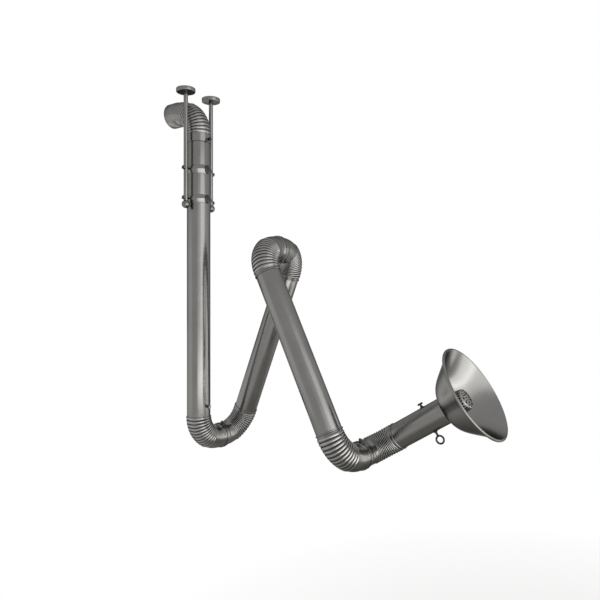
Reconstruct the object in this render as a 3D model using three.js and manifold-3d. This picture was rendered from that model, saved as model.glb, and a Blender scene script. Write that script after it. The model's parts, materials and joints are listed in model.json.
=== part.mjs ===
// Fume extraction arm: steel ducts and ribbed elbows, hung from a ceiling and folding at three swivels.
// Millimetres, +Z up. The origin lies on the riser's axis in the plane of the ceiling. +X is the way the arm
// reaches out to its hood, and the three folding swivels turn about axes parallel to Y.
import * as THREE from "three";
import { mergeVertices } from "three/addons/utils/BufferGeometryUtils.js";
import Module from "manifold-3d";

const wasm = await Module();
wasm.setup();

// Clearances
const FIT_GAP = 0.3; // between pieces that are pushed or screwed together
const RUN_GAP = 0.4; // between pieces that turn in each other

// Duct tubes
const TUBE_DIAMETER = 110;
const TUBE_WALL = 1.5;
const DUCT_SIDES = 16;

// Ribbed elbows
const BEND_RADIUS = 120;
const RIB_COUNT = 11;
const RIB_SPAN = 80; // degrees of the bend that are ribbed, from the tube's end
const RIB_CREST = 3.6; // above the surface of a tube
const RIB_VALLEY = 1.2; // above the surface of a tube
const ELBOW_WALL = 1.8; // under a valley
const BORE_RINGS = 6; // along the smooth inside of the bend
const CUFF_LENGTH = 14; // straight cuff that takes the end of a tube
const CUFF_STEP = 1.5; // shoulder that stops the tube
const LIP_LENGTH = 7; // rolled lip at the open end of a cuff
const LIP_EDGE = 1.4; // rounding of the lip

// Swivels, where the spigot of one elbow turns in the socket of the next
const SPIGOT_COLLAR = 20; // plain length that shows between the bend and the socket
const SPIGOT_DIAMETER = 108;
const SPIGOT_WALL = 1.6;
const SPIGOT_END_GAP = 1.8;
const SEAM_GAP = 0.6;
const SOCKET_LENGTH = 24.4;
const SOCKET_FLARE = 4;
const SOCKET_STEP = 2.2;
const SOCKET_WALL = 1.8;
const RING_THICKNESS = 1.3;
const RING_LENGTH = 16;
const RING_RECESS = 1.5; // from the mouth of the socket

// Clamp bands on the sockets
const BAND_WIDTH = 11;
const BAND_THICKNESS = 1.5;
const BAND_TURN = { lower: 0, upper: 0, wrist: 45 }; // degrees from the inside of the bend
const EAR_HEIGHT = 11;
const EAR_THICKNESS = 3;
const EAR_SPACING = 9;
const BAND_SCREW_DIAMETER = 5;
const BAND_SCREW_OVERHANG = 4;
const BAND_HEAD_DIAMETER = 12;
const BAND_HEAD_LENGTH = 9;
const SMALL_SIDES = 10; // of screws, studs, rods and their holes

// Ceiling hanger
const DISC_DIAMETER = 88;
const DISC_THICKNESS = 18;
const DISC_EDGE = 4;
const DISC_SOCKET = 11;
const ROD_DIAMETER = 20;
const ROD_OFFSET = 82.5; // from the riser's axis
const BALL_DIAMETER = 38;
const BALL_BELOW_GUIDE = 29; // middle of the ball below the lower guide
const BALL_SOCKET = 21;
const BALL_STEPS = 6;

// Guide rings of V section, which hold the riser at their upper and lower edge
const GUIDE_DROP = 365; // middle of the upper ring, below the ceiling
const GUIDE_PITCH = 138;
const GUIDE_HEIGHT = 41;
const GUIDE_RISE = 5.6; // of the V
const GUIDE_GAP = 0.25; // between the flats of a ring and the corners of the riser
const GUIDE_WALL = 2; // of a ring at its ridge
const GUIDE_EDGE = 1; // of a ring at its upper and lower edge
const CAP_DIAMETER = 40;
const CAP_THICKNESS = 2; // over the ridge of the ring
const CAP_EDGE = 2;
const STUD_DIAMETER = 10;
const STUD_OVERHANG = 3;
const NUT_WIDTH = 17;
const NUT_HEIGHT = 8;

// Outlet elbow on top of the riser
const OUTLET_DROP = 76.5; // outlet axis below the ceiling
const OUTLET_COLLAR = 39.5;
const OUTLET_COLLAR_WALL = 2;
const OUTLET_DIAMETER = 116;
const OUTLET_LENGTH = 57;
const OUTLET_WALL = 2;
const RISER_INSERT = 28; // riser inside the collar
const SEAL_HEIGHT = 5;
const SEAL_WIDTH = 3.5;

// Riser and arms
const KNUCKLE_DROP = 1638; // axis of the lower swivel below the ceiling
const LOWER_ARM_LENGTH = 966; // between swivel axes
const UPPER_ARM_LENGTH = 976;
const LOWER_ARM_LEAN = 21.8; // degrees from upright
const UPPER_ARM_LEAN = 25.8; // degrees from hanging straight down
const HOOD_LEAN = 57.4; // degrees from upright
const SLEEVE_LENGTH = 66; // riser elbow's sleeve inside the riser
const SLEEVE_WALL = 1.6;

// Thumb screws on the riser
const SCREW_DIAMETER = 6;
const SCREW_HEAD_DIAMETER = 16;
const SCREW_HEAD_LENGTH = 10;
const SCREW_HEAD_EDGE = 1.5;
const SCREW_NECK = 3; // between boss and head
const BOSS_DIAMETER = 14;
const BOSS_HEIGHT = 7;
const LOCK_SCREW_RISE = 11; // above the lower edge of the outlet collar
const SLEEVE_SCREW_RISE = 48; // above the start of the riser elbow's bend

// Hood
const HOOD_REACH = 525; // swivel axis to the rim
const BOWL_DEPTH = 133;
const RIM_DIAMETER = 404;
const RIM_LIP = 10;
const RIM_THICKNESS = 5;
const BOWL_WALL = 1.8;
const SHOULDER_RADIUS = 116; // the flat back of the bowl turns forward here
const FLARE_RADIUS = 127; // pulls the outline of the bowl into its flare
const FLARE_RISE = 45;
const BOWL_STEPS = 8;
const BOWL_SIDES = 28;
const BOWL_INSERT = 8; // hood tube inside the bowl

// Guard basket in the throat of the hood
const GUARD_SEAT = 16; // inside the hood tube
const GUARD_LENGTH = 80; // beyond the hood tube
const GUARD_END_DIAMETER = 80;
const GUARD_WALL = 1.5;
const GUARD_SIDES = 24;
const SLOT_COUNT = 24;
const SLOT_WIDTH = 5;
const SLOT_LENGTH = 18;
const SLOT_MARGIN = 7.5; // plain cone between the slots and the end
const HOLE_DIAMETER = 7.5;
const HOLE_PITCH = 13;
const HOLE_SIDES = 5;
const HOLE_FIELD = 34; // holes lie within this radius

// Damper in the hood tube
const DAMPER_BACK = 109; // shaft from the end of the hood tube
const SHAFT_DIAMETER = 8;
const BLADE_DIAMETER = 98;
const BLADE_THICKNESS = 1.6;
const BLADE_SIDES = 24;
const BLADE_SCREW_DIAMETER = 4;
const BLADE_SCREW_HEAD = 7.5;
const BLADE_SCREW_HEAD_HEIGHT = 2.6;
const BLADE_SCREW_OVERHANG = 1;
const BLADE_SCREW_SPREAD = 27; // from the middle of the blade
const BUSH_DIAMETER = 13;
const BUSH_FLANGE = 19;
const BUSH_FLANGE_HEIGHT = 2.5;
const BUSH_INSIDE = 2; // inside the tube
const HANDLE_SEAT = 7; // shaft inside each handle
const HANDLE_STEM_DIAMETER = 12;
const KNOB_RISE = 70; // axis of the knob's bar from the axis of the hood tube
const KNOB_BAR_DIAMETER = 8;
const KNOB_BAR_LENGTH = 26;
const EYE_RISE = 91; // middle of the eye from the axis of the hood tube
const EYE_DIAMETER = 32; // middle of the wire
const EYE_WIRE = 8;
const EYE_SIDES = 6;
const EYE_STEPS = 16;

// Values that follow from those above
const tubeRadius = TUBE_DIAMETER / 2;
const tubeBore = tubeRadius - TUBE_WALL;
const ductFlat = Math.cos(Math.PI / DUCT_SIDES); // flat to corner, as a share of the radius
const crestRadius = tubeRadius + RIB_CREST;
const valleyRadius = tubeRadius + RIB_VALLEY;
const elbowBore = valleyRadius - ELBOW_WALL;
const bendLength = (BEND_RADIUS * Math.PI) / 2;
const cuffBore = tubeRadius + FIT_GAP;
const tubeInset = BEND_RADIUS + CUFF_STEP + FIT_GAP; // from a swivel axis to the end of a tube
const spigotRadius = SPIGOT_DIAMETER / 2;
const spigotBore = spigotRadius - SPIGOT_WALL;
const spigotEnd = SPIGOT_COLLAR + SEAM_GAP + SOCKET_LENGTH - SOCKET_STEP - SPIGOT_END_GAP;
const ringBore = (spigotRadius + RUN_GAP) / ductFlat;
const ringRadius = ringBore + RING_THICKNESS;
const socketBore = ringRadius + FIT_GAP;
const socketRadius = socketBore + SOCKET_WALL;
const socketMouth = BEND_RADIUS + SOCKET_LENGTH;
const swivelOffset = BEND_RADIUS + SPIGOT_COLLAR + SEAM_GAP + socketMouth;
const bandBore = socketRadius + FIT_GAP;
const bandRadius = bandBore + BAND_THICKNESS;
const rodRadius = ROD_DIAMETER / 2;
const lowerGuideDrop = GUIDE_DROP + GUIDE_PITCH; // below the ceiling
const ballDrop = lowerGuideDrop + BALL_BELOW_GUIDE;
const sleeveRadius = tubeBore - FIT_GAP;
const sleeveBore = sleeveRadius - SLEEVE_WALL;
const collarBore = (tubeRadius + RUN_GAP) / ductFlat;
const collarRadius = collarBore + OUTLET_COLLAR_WALL;
const collarDepth = RISER_INSERT + SEAL_HEIGHT + 2 * FIT_GAP;
const outletRadius = OUTLET_DIAMETER / 2;
const riserTop = RISER_INSERT - OUTLET_DROP - BEND_RADIUS - OUTLET_COLLAR;
const riserFoot = BEND_RADIUS - KNUCKLE_DROP;
const bowlStart = HOOD_REACH - BOWL_DEPTH;
const hoodTubeEnd = bowlStart + BOWL_INSERT;
const guardReach = hoodTubeEnd + GUARD_LENGTH;
const damperReach = hoodTubeEnd - DAMPER_BACK;
const shaftRadius = SHAFT_DIAMETER / 2;
const rad = THREE.MathUtils.degToRad;

// Finishes
const stainless = new THREE.MeshStandardMaterial({ color: 0x8c8c8a, metalness: 1, roughness: 0.3 });
const polished = new THREE.MeshStandardMaterial({ color: 0xa6a6a4, metalness: 1, roughness: 0.18 });
const darkSteel = new THREE.MeshStandardMaterial({ color: 0x4c4c4a, metalness: 1, roughness: 0.35 });
const nylon = new THREE.MeshStandardMaterial({ color: 0x2b2b2a, metalness: 0, roughness: 0.55 });
const rubber = new THREE.MeshStandardMaterial({ color: 0x1c1c1c, metalness: 0, roughness: 0.8 });
const slipPlastic = new THREE.MeshStandardMaterial({ color: 0xe8e6df, metalness: 0, roughness: 0.45 });

function piece(parent, name, geometry, material) {
  const mesh = new THREE.Mesh(geometry, material);
  mesh.name = name;
  parent.add(mesh);
}

function frame(parent, position, rotation = [0, 0, 0]) {
  const group = new THREE.Group();
  group.position.set(...position);
  group.rotation.set(...rotation.map(rad));
  parent.add(group);
  return group;
}

// A list of values made from the numbers 0 to count - 1.
function series(count, make) {
  return Array.from({ length: count }, (unused, index) => make(index));
}

// Joining and cutting closed meshes
function solid(geometry) {
  const bare = geometry.clone();
  bare.deleteAttribute("normal");
  bare.deleteAttribute("uv");
  const merged = mergeVertices(bare);
  const vertProperties = merged.getAttribute("position").array;
  const triVerts = new Uint32Array(merged.index.array);
  return new wasm.Manifold(new wasm.Mesh({ numProp: 3, vertProperties, triVerts }));
}

function skin(body) {
  const mesh = body.getMesh();
  const geometry = new THREE.BufferGeometry();
  geometry.setAttribute("position", new THREE.BufferAttribute(mesh.vertProperties, 3));
  return geometry.setIndex(new THREE.BufferAttribute(mesh.triVerts, 1));
}

function cut(base, ...tools) {
  return skin(tools.reduce((left, tool) => left.subtract(solid(tool)), solid(base)));
}

function join(base, ...others) {
  return skin(others.reduce((whole, other) => whole.add(solid(other)), solid(base)));
}

// A piece turned on a lathe: an outline of [radius, height] points, spun about Z, a flat facing each axis.
function turned(outline, sides) {
  const points = outline.map(([radius, height]) => new THREE.Vector2(radius, height));
  return new THREE.LatheGeometry(points, sides, Math.PI / sides).rotateX(Math.PI / 2);
}

function turnedRing(bore, radius, low, high, sides = DUCT_SIDES) {
  return turned([[bore, low], [radius, low], [radius, high], [bore, high], [bore, low]], sides);
}

// A round bar along Z between two heights.
function bar(radius, low, high) {
  return turned([[0, low], [radius, low], [radius, high], [0, high]], SMALL_SIDES);
}

// A drill whose hole clears a round piece of the given radius by the fitting gap, also at the flats.
function drill(radius, low, high) {
  return bar(holeRadius(radius), low, high);
}

function holeRadius(radius, sides = SMALL_SIDES) {
  return (radius + FIT_GAP) / Math.cos(Math.PI / sides);
}

// Pieces made along +Z are laid along another axis.
function alongX(geometry) {
  return geometry.rotateY(Math.PI / 2);
}

function againstX(geometry) {
  return geometry.rotateY(-Math.PI / 2);
}

function alongY(geometry) {
  return geometry.rotateX(-Math.PI / 2);
}

function againstY(geometry) {
  return geometry.rotateX(Math.PI / 2);
}

// Elbows. In an elbow's own frame its tube runs up +Z and its swivel runs out along +Y, and the two axes
// meet at the origin. A place on its centre line is zero where the bend starts, below zero in the tube's end.
function elbowRing([along, radius]) {
  const turn = THREE.MathUtils.clamp(along / BEND_RADIUS, 0, Math.PI / 2);
  const straight = along - turn * BEND_RADIUS;
  const outward = new THREE.Vector3(0, -Math.cos(turn), -Math.sin(turn));
  const forward = new THREE.Vector3(0, Math.sin(turn), -Math.cos(turn));
  const sideways = new THREE.Vector3(1, 0, 0);
  const centre = new THREE.Vector3(0, BEND_RADIUS, BEND_RADIUS)
    .addScaledVector(outward, BEND_RADIUS)
    .addScaledVector(forward, straight);
  return series(DUCT_SIDES, (side) => {
    const angle = ((side + 0.5) * 2 * Math.PI) / DUCT_SIDES;
    return centre
      .clone()
      .addScaledVector(outward, radius * Math.cos(angle))
      .addScaledVector(sideways, radius * Math.sin(angle));
  });
}

// A closed skin through a loop of rings: along the outside, over one end, back in the bore, over the other.
function loft(rings) {
  const around = rings[0].length;
  const faces = [];
  rings.forEach((ring, row) => {
    const here = row * around;
    const next = ((row + 1) % rings.length) * around;
    for (let side = 0; side < around; side += 1) {
      const beside = (side + 1) % around;
      faces.push(here + side, next + side, here + beside);
      faces.push(next + side, next + beside, here + beside);
    }
  });
  return new THREE.BufferGeometry().setFromPoints(rings.flat()).setIndex(faces);
}

// Each end gives its outside and its bore as [place, radius] points, from the tube end to the swivel end.
// A tube end is placed from the start of the bend, and a swivel end from its finish.
function ribbedElbow(tubeEnd, swivelEnd) {
  const pastBend = ([along, radius]) => [bendLength + along, radius];
  const halfRib = (BEND_RADIUS * rad(RIB_SPAN)) / (2 * RIB_COUNT);
  const ribs = series(2 * RIB_COUNT, (row) => {
    return [(row + 1) * halfRib, row % 2 === 0 ? crestRadius : valleyRadius];
  });
  const bendBore = series(BORE_RINGS, (row) => [(row * bendLength) / (BORE_RINGS - 1), elbowBore]);
  const outside = [...tubeEnd.outside, ...ribs, ...swivelEnd.outside.map(pastBend)];
  const bore = [...tubeEnd.bore, ...bendBore, ...swivelEnd.bore.map(pastBend)];
  return loft([...outside, ...bore.reverse()].map(elbowRing));
}

// Tube ends: a cuff over a tube, a sleeve inside one, and a slip collar that a tube turns in
const cuff = {
  outside: [
    [-CUFF_LENGTH, crestRadius - LIP_EDGE],
    [LIP_EDGE - CUFF_LENGTH, crestRadius],
    [LIP_LENGTH - LIP_EDGE - CUFF_LENGTH, crestRadius],
    [LIP_LENGTH - CUFF_LENGTH, valleyRadius],
    [0, valleyRadius],
  ],
  bore: [
    [-CUFF_LENGTH, cuffBore],
    [-CUFF_STEP, cuffBore],
    [-CUFF_STEP, elbowBore],
  ],
};

const sleeve = {
  outside: [
    [-SLEEVE_LENGTH, sleeveRadius],
    [0, sleeveRadius],
    [0, valleyRadius],
  ],
  bore: [
    [-SLEEVE_LENGTH, sleeveBore],
    [-CUFF_STEP, sleeveBore],
  ],
};

const slipCollar = {
  outside: [
    [-OUTLET_COLLAR, collarRadius],
    [-CUFF_STEP, collarRadius],
    [0, valleyRadius],
  ],
  bore: [
    [-OUTLET_COLLAR, collarBore],
    [collarDepth - OUTLET_COLLAR, collarBore],
    [collarDepth - OUTLET_COLLAR, elbowBore],
  ],
};

// Swivel ends: a spigot, a socket, and the plain outlet that the building's duct goes over
const spigot = {
  outside: [
    [0, valleyRadius],
    [SPIGOT_COLLAR, valleyRadius],
    [SPIGOT_COLLAR, spigotRadius],
    [spigotEnd, spigotRadius],
  ],
  bore: [
    [SPIGOT_COLLAR, spigotBore],
    [spigotEnd, spigotBore],
  ],
};

const socket = {
  outside: [
    [0, valleyRadius],
    [SOCKET_FLARE, socketRadius],
    [SOCKET_LENGTH, socketRadius],
  ],
  bore: [
    [SOCKET_STEP, elbowBore],
    [SOCKET_STEP, socketBore],
    [SOCKET_LENGTH, socketBore],
  ],
};

const plainOutlet = {
  outside: [
    [0, valleyRadius],
    [SOCKET_FLARE, outletRadius],
    [OUTLET_LENGTH, outletRadius],
  ],
  bore: [
    [SOCKET_FLARE, elbowBore],
    [OUTLET_LENGTH, outletRadius - OUTLET_WALL],
  ],
};

function ductTube(low, high) {
  return turnedRing(tubeBore, tubeRadius, low, high);
}

// A thumb screw up +Z from its tip.
function thumbScrew(tip, headStart) {
  const head = SCREW_HEAD_DIAMETER / 2;
  const headEnd = headStart + SCREW_HEAD_LENGTH;
  const outline = [
    [0, tip],
    [SCREW_DIAMETER / 2, tip],
    [SCREW_DIAMETER / 2, headStart],
    [head - SCREW_HEAD_EDGE, headStart],
    [head, headStart + SCREW_HEAD_EDGE],
    [head, headEnd - SCREW_HEAD_EDGE],
    [head - SCREW_HEAD_EDGE, headEnd],
    [0, headEnd],
  ];
  return turned(outline, SMALL_SIDES);
}

// A swivel's slip ring, clamp band and clamp screw, in the frame of the elbow whose socket they sit in.
function swivelFittings(elbowFrame, name, bandTurn) {
  const ringEnd = socketMouth - RING_RECESS;
  const ring = turnedRing(ringBore, ringRadius, ringEnd - RING_LENGTH, ringEnd);
  piece(elbowFrame, name + "_slip_ring", alongY(ring), slipPlastic);

  const bandMiddle = socketMouth - BAND_WIDTH / 2;
  const earMiddle = (EAR_SPACING + EAR_THICKNESS) / 2;
  const earFace = earMiddle + EAR_THICKNESS / 2;
  const earHeight = bandRadius + EAR_HEIGHT - bandBore;
  const screwHeight = bandRadius + EAR_HEIGHT / 2;
  const hoop = alongY(turnedRing(bandBore, bandRadius, socketMouth - BAND_WIDTH, socketMouth));
  const ears = [-earMiddle, earMiddle].map((across) => {
    const ear = new THREE.BoxGeometry(EAR_THICKNESS, BAND_WIDTH, earHeight);
    return ear.translate(across, bandMiddle, bandBore + earHeight / 2);
  });
  const opening = new THREE.BoxGeometry(EAR_SPACING, 2 * BAND_WIDTH, 2 * EAR_HEIGHT);
  const earDrill = alongX(drill(BAND_SCREW_DIAMETER / 2, -2 * earFace, 2 * earFace));
  const band = cut(
    join(hoop, ...ears),
    opening.translate(0, bandMiddle, bandRadius),
    earDrill.translate(0, bandMiddle, screwHeight),
  );
  const headStart = earFace + FIT_GAP;
  const screwOutline = [
    [0, -earFace - BAND_SCREW_OVERHANG],
    [BAND_SCREW_DIAMETER / 2, -earFace - BAND_SCREW_OVERHANG],
    [BAND_SCREW_DIAMETER / 2, headStart],
    [BAND_HEAD_DIAMETER / 2, headStart],
    [BAND_HEAD_DIAMETER / 2, headStart + BAND_HEAD_LENGTH],
    [0, headStart + BAND_HEAD_LENGTH],
  ];
  const screw = alongX(turned(screwOutline, SMALL_SIDES));
  const turnedFrame = frame(elbowFrame, [0, 0, 0], [0, bandTurn, 0]);
  piece(turnedFrame, name + "_clamp_band", band, stainless);
  piece(turnedFrame, name + "_clamp_screw", screw.translate(0, bandMiddle, screwHeight), darkSteel);
}

const arm = new THREE.Group();

// Ceiling discs, rods and the balls that close the rods
const discRadius = DISC_DIAMETER / 2;
const rodSocket = holeRadius(rodRadius, DUCT_SIDES);
const discOutline = [
  [0, DISC_SOCKET - DISC_THICKNESS],
  [rodSocket, DISC_SOCKET - DISC_THICKNESS],
  [rodSocket, -DISC_THICKNESS],
  [discRadius - DISC_EDGE, -DISC_THICKNESS],
  [discRadius, DISC_EDGE - DISC_THICKNESS],
  [discRadius, -DISC_EDGE],
  [discRadius - DISC_EDGE, 0],
  [0, 0],
];

const ballRadius = BALL_DIAMETER / 2;
const ballMouth = Math.sqrt(ballRadius ** 2 - rodSocket ** 2);
const ballFloor = ballMouth - BALL_SOCKET;
const ballArc = series(BALL_STEPS, (step) => {
  const angle = (step * Math.acos(-ballMouth / ballRadius)) / BALL_STEPS;
  return [ballRadius * Math.sin(angle), -ballRadius * Math.cos(angle)];
});
const ballOutline = [...ballArc, [rodSocket, ballMouth], [rodSocket, ballFloor], [0, ballFloor]];

// A guide ring about the riser's axis. Its edges run on the riser, their flats facing the riser's corners.
// The studs and the cap sit on its ridge.
const halfGuide = GUIDE_HEIGHT / 2;
const halfFacet = Math.PI / DUCT_SIDES;
const guideEdgeBore = (tubeRadius + GUIDE_GAP) / ductFlat;
const guideBore = guideEdgeBore + GUIDE_RISE;
const guideRidge = guideBore + GUIDE_WALL;
const guideEdge = guideEdgeBore + GUIDE_EDGE;
const guideOutside = [
  [guideEdge, -halfGuide],
  [guideRidge, 0],
  [guideEdge, halfGuide],
];
const guideInside = [
  [guideEdgeBore, halfGuide],
  [guideBore, 0],
  [guideEdgeBore, -halfGuide],
];

// The cap is a round block whose back is hollowed to the shape of the ring.
const capHollow = [
  [0, -GUIDE_HEIGHT],
  [guideEdge + FIT_GAP, -GUIDE_HEIGHT],
  ...guideOutside.map(([radius, height]) => [radius + FIT_GAP, height]),
  [guideEdge + FIT_GAP, GUIDE_HEIGHT],
  [0, GUIDE_HEIGHT],
];
const capRadius = CAP_DIAMETER / 2;
const capFace = guideRidge + FIT_GAP + CAP_THICKNESS;
const capBlock = [
  [0, tubeBore],
  [capRadius, tubeBore],
  [capRadius, capFace - CAP_EDGE],
  [capRadius - CAP_EDGE, capFace],
  [0, capFace],
];
const guideCap = cut(alongX(turned(capBlock, DUCT_SIDES)), turned(capHollow, DUCT_SIDES).rotateZ(halfFacet));

const studRadius = STUD_DIAMETER / 2;
const studHole = holeRadius(studRadius);
const studStart = guideBore * ductFlat;
const guideWall = turned([...guideOutside, ...guideInside, guideOutside[0]], DUCT_SIDES);
const guideDrill = alongY(drill(studRadius, -ROD_OFFSET, ROD_OFFSET));
const guideRing = cut(guideWall.rotateZ(halfFacet), guideDrill);
const nutStart = ROD_OFFSET + rodRadius + FIT_GAP;
const studEnd = nutStart + NUT_HEIGHT + STUD_OVERHANG;

function polygon(radius, sides) {
  return series(sides, (side) => {
    const angle = (side * 2 * Math.PI) / sides;
    return new THREE.Vector2(radius * Math.cos(angle), radius * Math.sin(angle));
  });
}

function guideNut() {
  const outline = new THREE.Shape(polygon(NUT_WIDTH / 2 / Math.cos(Math.PI / 6), 6));
  outline.holes.push(new THREE.Path(polygon(studHole, SMALL_SIDES)));
  const nut = new THREE.ExtrudeGeometry(outline, { depth: NUT_HEIGHT, bevelEnabled: false });
  return nut.translate(0, 0, nutStart);
}

const hangers = [
  { side: "front", sign: -1 },
  { side: "rear", sign: 1 },
];
const guides = [
  { level: "upper", height: -GUIDE_DROP },
  { level: "lower", height: -lowerGuideDrop },
];

for (const { level, height } of guides) {
  const guide = frame(arm, [0, 0, height]);
  piece(guide, "guide_ring_" + level, guideRing, stainless);
  piece(guide, "guide_cap_" + level, guideCap, nylon);
}

for (const { side, sign } of hangers) {
  const hanger = frame(arm, [0, sign * ROD_OFFSET, 0]);
  piece(hanger, "ceiling_disc_" + side, turned(discOutline, DUCT_SIDES), stainless);
  const rodTop = DISC_SOCKET - DISC_THICKNESS - FIT_GAP;
  const rodFoot = ballFloor - ballDrop + FIT_GAP;
  const crossDrills = guides.map(({ height }) => {
    return alongY(drill(studRadius, -ROD_DIAMETER, ROD_DIAMETER)).translate(0, 0, height);
  });
  piece(hanger, "hanger_rod_" + side, cut(bar(rodRadius, rodFoot, rodTop), ...crossDrills), stainless);
  const ballFrame = frame(hanger, [0, 0, -ballDrop]);
  piece(ballFrame, "rod_end_ball_" + side, turned(ballOutline, DUCT_SIDES), polished);
  for (const { level, height } of guides) {
    const guide = frame(arm, [0, 0, height], [-90 * sign, 0, 0]);
    const place = level + "_" + side;
    piece(guide, "guide_stud_" + place, bar(studRadius, studStart, studEnd), darkSteel);
    piece(guide, "guide_nut_" + place, guideNut(), polished);
  }
}

// Outlet elbow, its seal and the screw that locks the riser's turn
const outlet = frame(arm, [0, 0, -OUTLET_DROP], [0, 180, -90]);
const lockHeight = BEND_RADIUS + OUTLET_COLLAR - LOCK_SCREW_RISE;
const lockBossEnd = collarRadius * ductFlat + BOSS_HEIGHT;
const lockBoss = againstY(bar(BOSS_DIAMETER / 2, collarBore, lockBossEnd));
const lockDrill = againstY(drill(SCREW_DIAMETER / 2, tubeBore, 2 * lockBossEnd));
const outletDuct = cut(
  join(ribbedElbow(slipCollar, plainOutlet), lockBoss.translate(0, 0, lockHeight)),
  lockDrill.translate(0, 0, lockHeight),
);
piece(outlet, "outlet_elbow", outletDuct, stainless);
const lockScrew = againstY(thumbScrew(tubeRadius + RUN_GAP, lockBossEnd + SCREW_NECK));
piece(outlet, "riser_lock_screw", lockScrew.translate(0, 0, lockHeight), darkSteel);
const sealRadius = collarBore - FIT_GAP;
const sealStart = riserTop + FIT_GAP;
const seal = turnedRing(sealRadius - SEAL_WIDTH, sealRadius, sealStart, sealStart + SEAL_HEIGHT);
piece(arm, "riser_top_seal", seal, rubber);

// Riser tube, the elbow at its foot and the screw that holds the elbow's sleeve
const riserWall = ductTube(riserFoot + FIT_GAP, riserTop);
const sleeveScrewHeight = riserFoot + SLEEVE_SCREW_RISE;
const sleeveBossEnd = tubeRadius * ductFlat + BOSS_HEIGHT;
const sleeveBoss = alongX(bar(BOSS_DIAMETER / 2, tubeBore, sleeveBossEnd));
const sleeveDrill = alongX(drill(SCREW_DIAMETER / 2, sleeveBore, 2 * sleeveBossEnd));
const riserTube = cut(
  join(riserWall, sleeveBoss.translate(0, 0, sleeveScrewHeight)),
  sleeveDrill.translate(0, 0, sleeveScrewHeight),
);
piece(arm, "riser_tube", riserTube, stainless);
const sleeveScrew = alongX(thumbScrew(sleeveRadius * ductFlat + FIT_GAP, sleeveBossEnd + SCREW_NECK));
piece(arm, "sleeve_screw", sleeveScrew.translate(0, 0, sleeveScrewHeight), darkSteel);
const riserElbow = frame(arm, [0, 0, -KNUCKLE_DROP]);
piece(riserElbow, "riser_elbow", ribbedElbow(sleeve, spigot), stainless);

// Lower arm, along +Z of its own frame from the lower swivel
const lowerArm = frame(arm, [0, swivelOffset, -KNUCKLE_DROP], [0, LOWER_ARM_LEAN, 0]);
const lowerFoot = frame(lowerArm, [0, 0, 0], [0, 0, 180]);
piece(lowerFoot, "lower_arm_foot_elbow", ribbedElbow(cuff, socket), stainless);
swivelFittings(lowerFoot, "lower_swivel", BAND_TURN.lower);
piece(lowerArm, "lower_arm_tube", ductTube(tubeInset, LOWER_ARM_LENGTH - tubeInset), stainless);
const lowerHead = frame(lowerArm, [0, 0, LOWER_ARM_LENGTH], [180, 0, 0]);
piece(lowerHead, "lower_arm_head_elbow", ribbedElbow(cuff, spigot), stainless);

// Upper arm, along -Z of its own frame from the upper swivel
const upperX = LOWER_ARM_LENGTH * Math.sin(rad(LOWER_ARM_LEAN));
const upperZ = LOWER_ARM_LENGTH * Math.cos(rad(LOWER_ARM_LEAN)) - KNUCKLE_DROP;
const upperArm = frame(arm, [upperX, 0, upperZ], [0, -UPPER_ARM_LEAN, 0]);
const upperHead = frame(upperArm, [0, 0, 0], [0, 180, 0]);
piece(upperHead, "upper_arm_head_elbow", ribbedElbow(cuff, socket), stainless);
swivelFittings(upperHead, "upper_swivel", BAND_TURN.upper);
piece(upperArm, "upper_arm_tube", ductTube(tubeInset - UPPER_ARM_LENGTH, -tubeInset), stainless);
const upperFoot = frame(upperArm, [0, 0, -UPPER_ARM_LENGTH]);
piece(upperFoot, "upper_arm_wrist_elbow", ribbedElbow(cuff, spigot), stainless);

// Hood, along +Z of its own frame from the wrist swivel
const wristX = upperX + UPPER_ARM_LENGTH * Math.sin(rad(UPPER_ARM_LEAN));
const wristZ = upperZ - UPPER_ARM_LENGTH * Math.cos(rad(UPPER_ARM_LEAN));
const hood = frame(arm, [wristX, swivelOffset, wristZ], [0, HOOD_LEAN, 0]);
const hoodFoot = frame(hood, [0, 0, 0], [0, 0, 180]);
piece(hoodFoot, "hood_elbow", ribbedElbow(cuff, socket), stainless);
swivelFittings(hoodFoot, "wrist_swivel", BAND_TURN.wrist);
const bushHole = alongX(drill(BUSH_DIAMETER / 2, -TUBE_DIAMETER, TUBE_DIAMETER));
const hoodTube = cut(ductTube(tubeInset, hoodTubeEnd), bushHole.translate(0, 0, damperReach));
piece(hood, "hood_tube", hoodTube, stainless);

// Bowl: a flat back that turns over a shoulder into a straight flare, and a rolled rim
const rimRadius = RIM_DIAMETER / 2;
const bowlHole = holeRadius(tubeRadius, BOWL_SIDES);
const bowlCurve = new THREE.CubicBezierCurve(
  new THREE.Vector2(bowlHole, 0),
  new THREE.Vector2(SHOULDER_RADIUS, 0),
  new THREE.Vector2(FLARE_RADIUS, FLARE_RISE),
  new THREE.Vector2(rimRadius - RIM_LIP, BOWL_DEPTH - RIM_THICKNESS),
);
const bowlOutside = series(BOWL_STEPS + 1, (step) => bowlCurve.getPoint(step / BOWL_STEPS));
const bowlInside = bowlOutside.map((point, step) => {
  const tangent = bowlCurve.getTangent(step / BOWL_STEPS);
  return new THREE.Vector2(point.x - BOWL_WALL * tangent.y, point.y + BOWL_WALL * tangent.x);
});
const bowlOutline = [
  ...bowlOutside.map(({ x, y }) => [x, y]),
  [rimRadius, BOWL_DEPTH - RIM_THICKNESS],
  [rimRadius, BOWL_DEPTH],
  [rimRadius - RIM_LIP, BOWL_DEPTH],
  ...bowlInside.reverse().map(({ x, y }) => [x, y]),
  [bowlHole, 0],
];
const bowlFrame = frame(hood, [0, 0, bowlStart]);
piece(bowlFrame, "hood_bowl", turned(bowlOutline, BOWL_SIDES), stainless);

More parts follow.
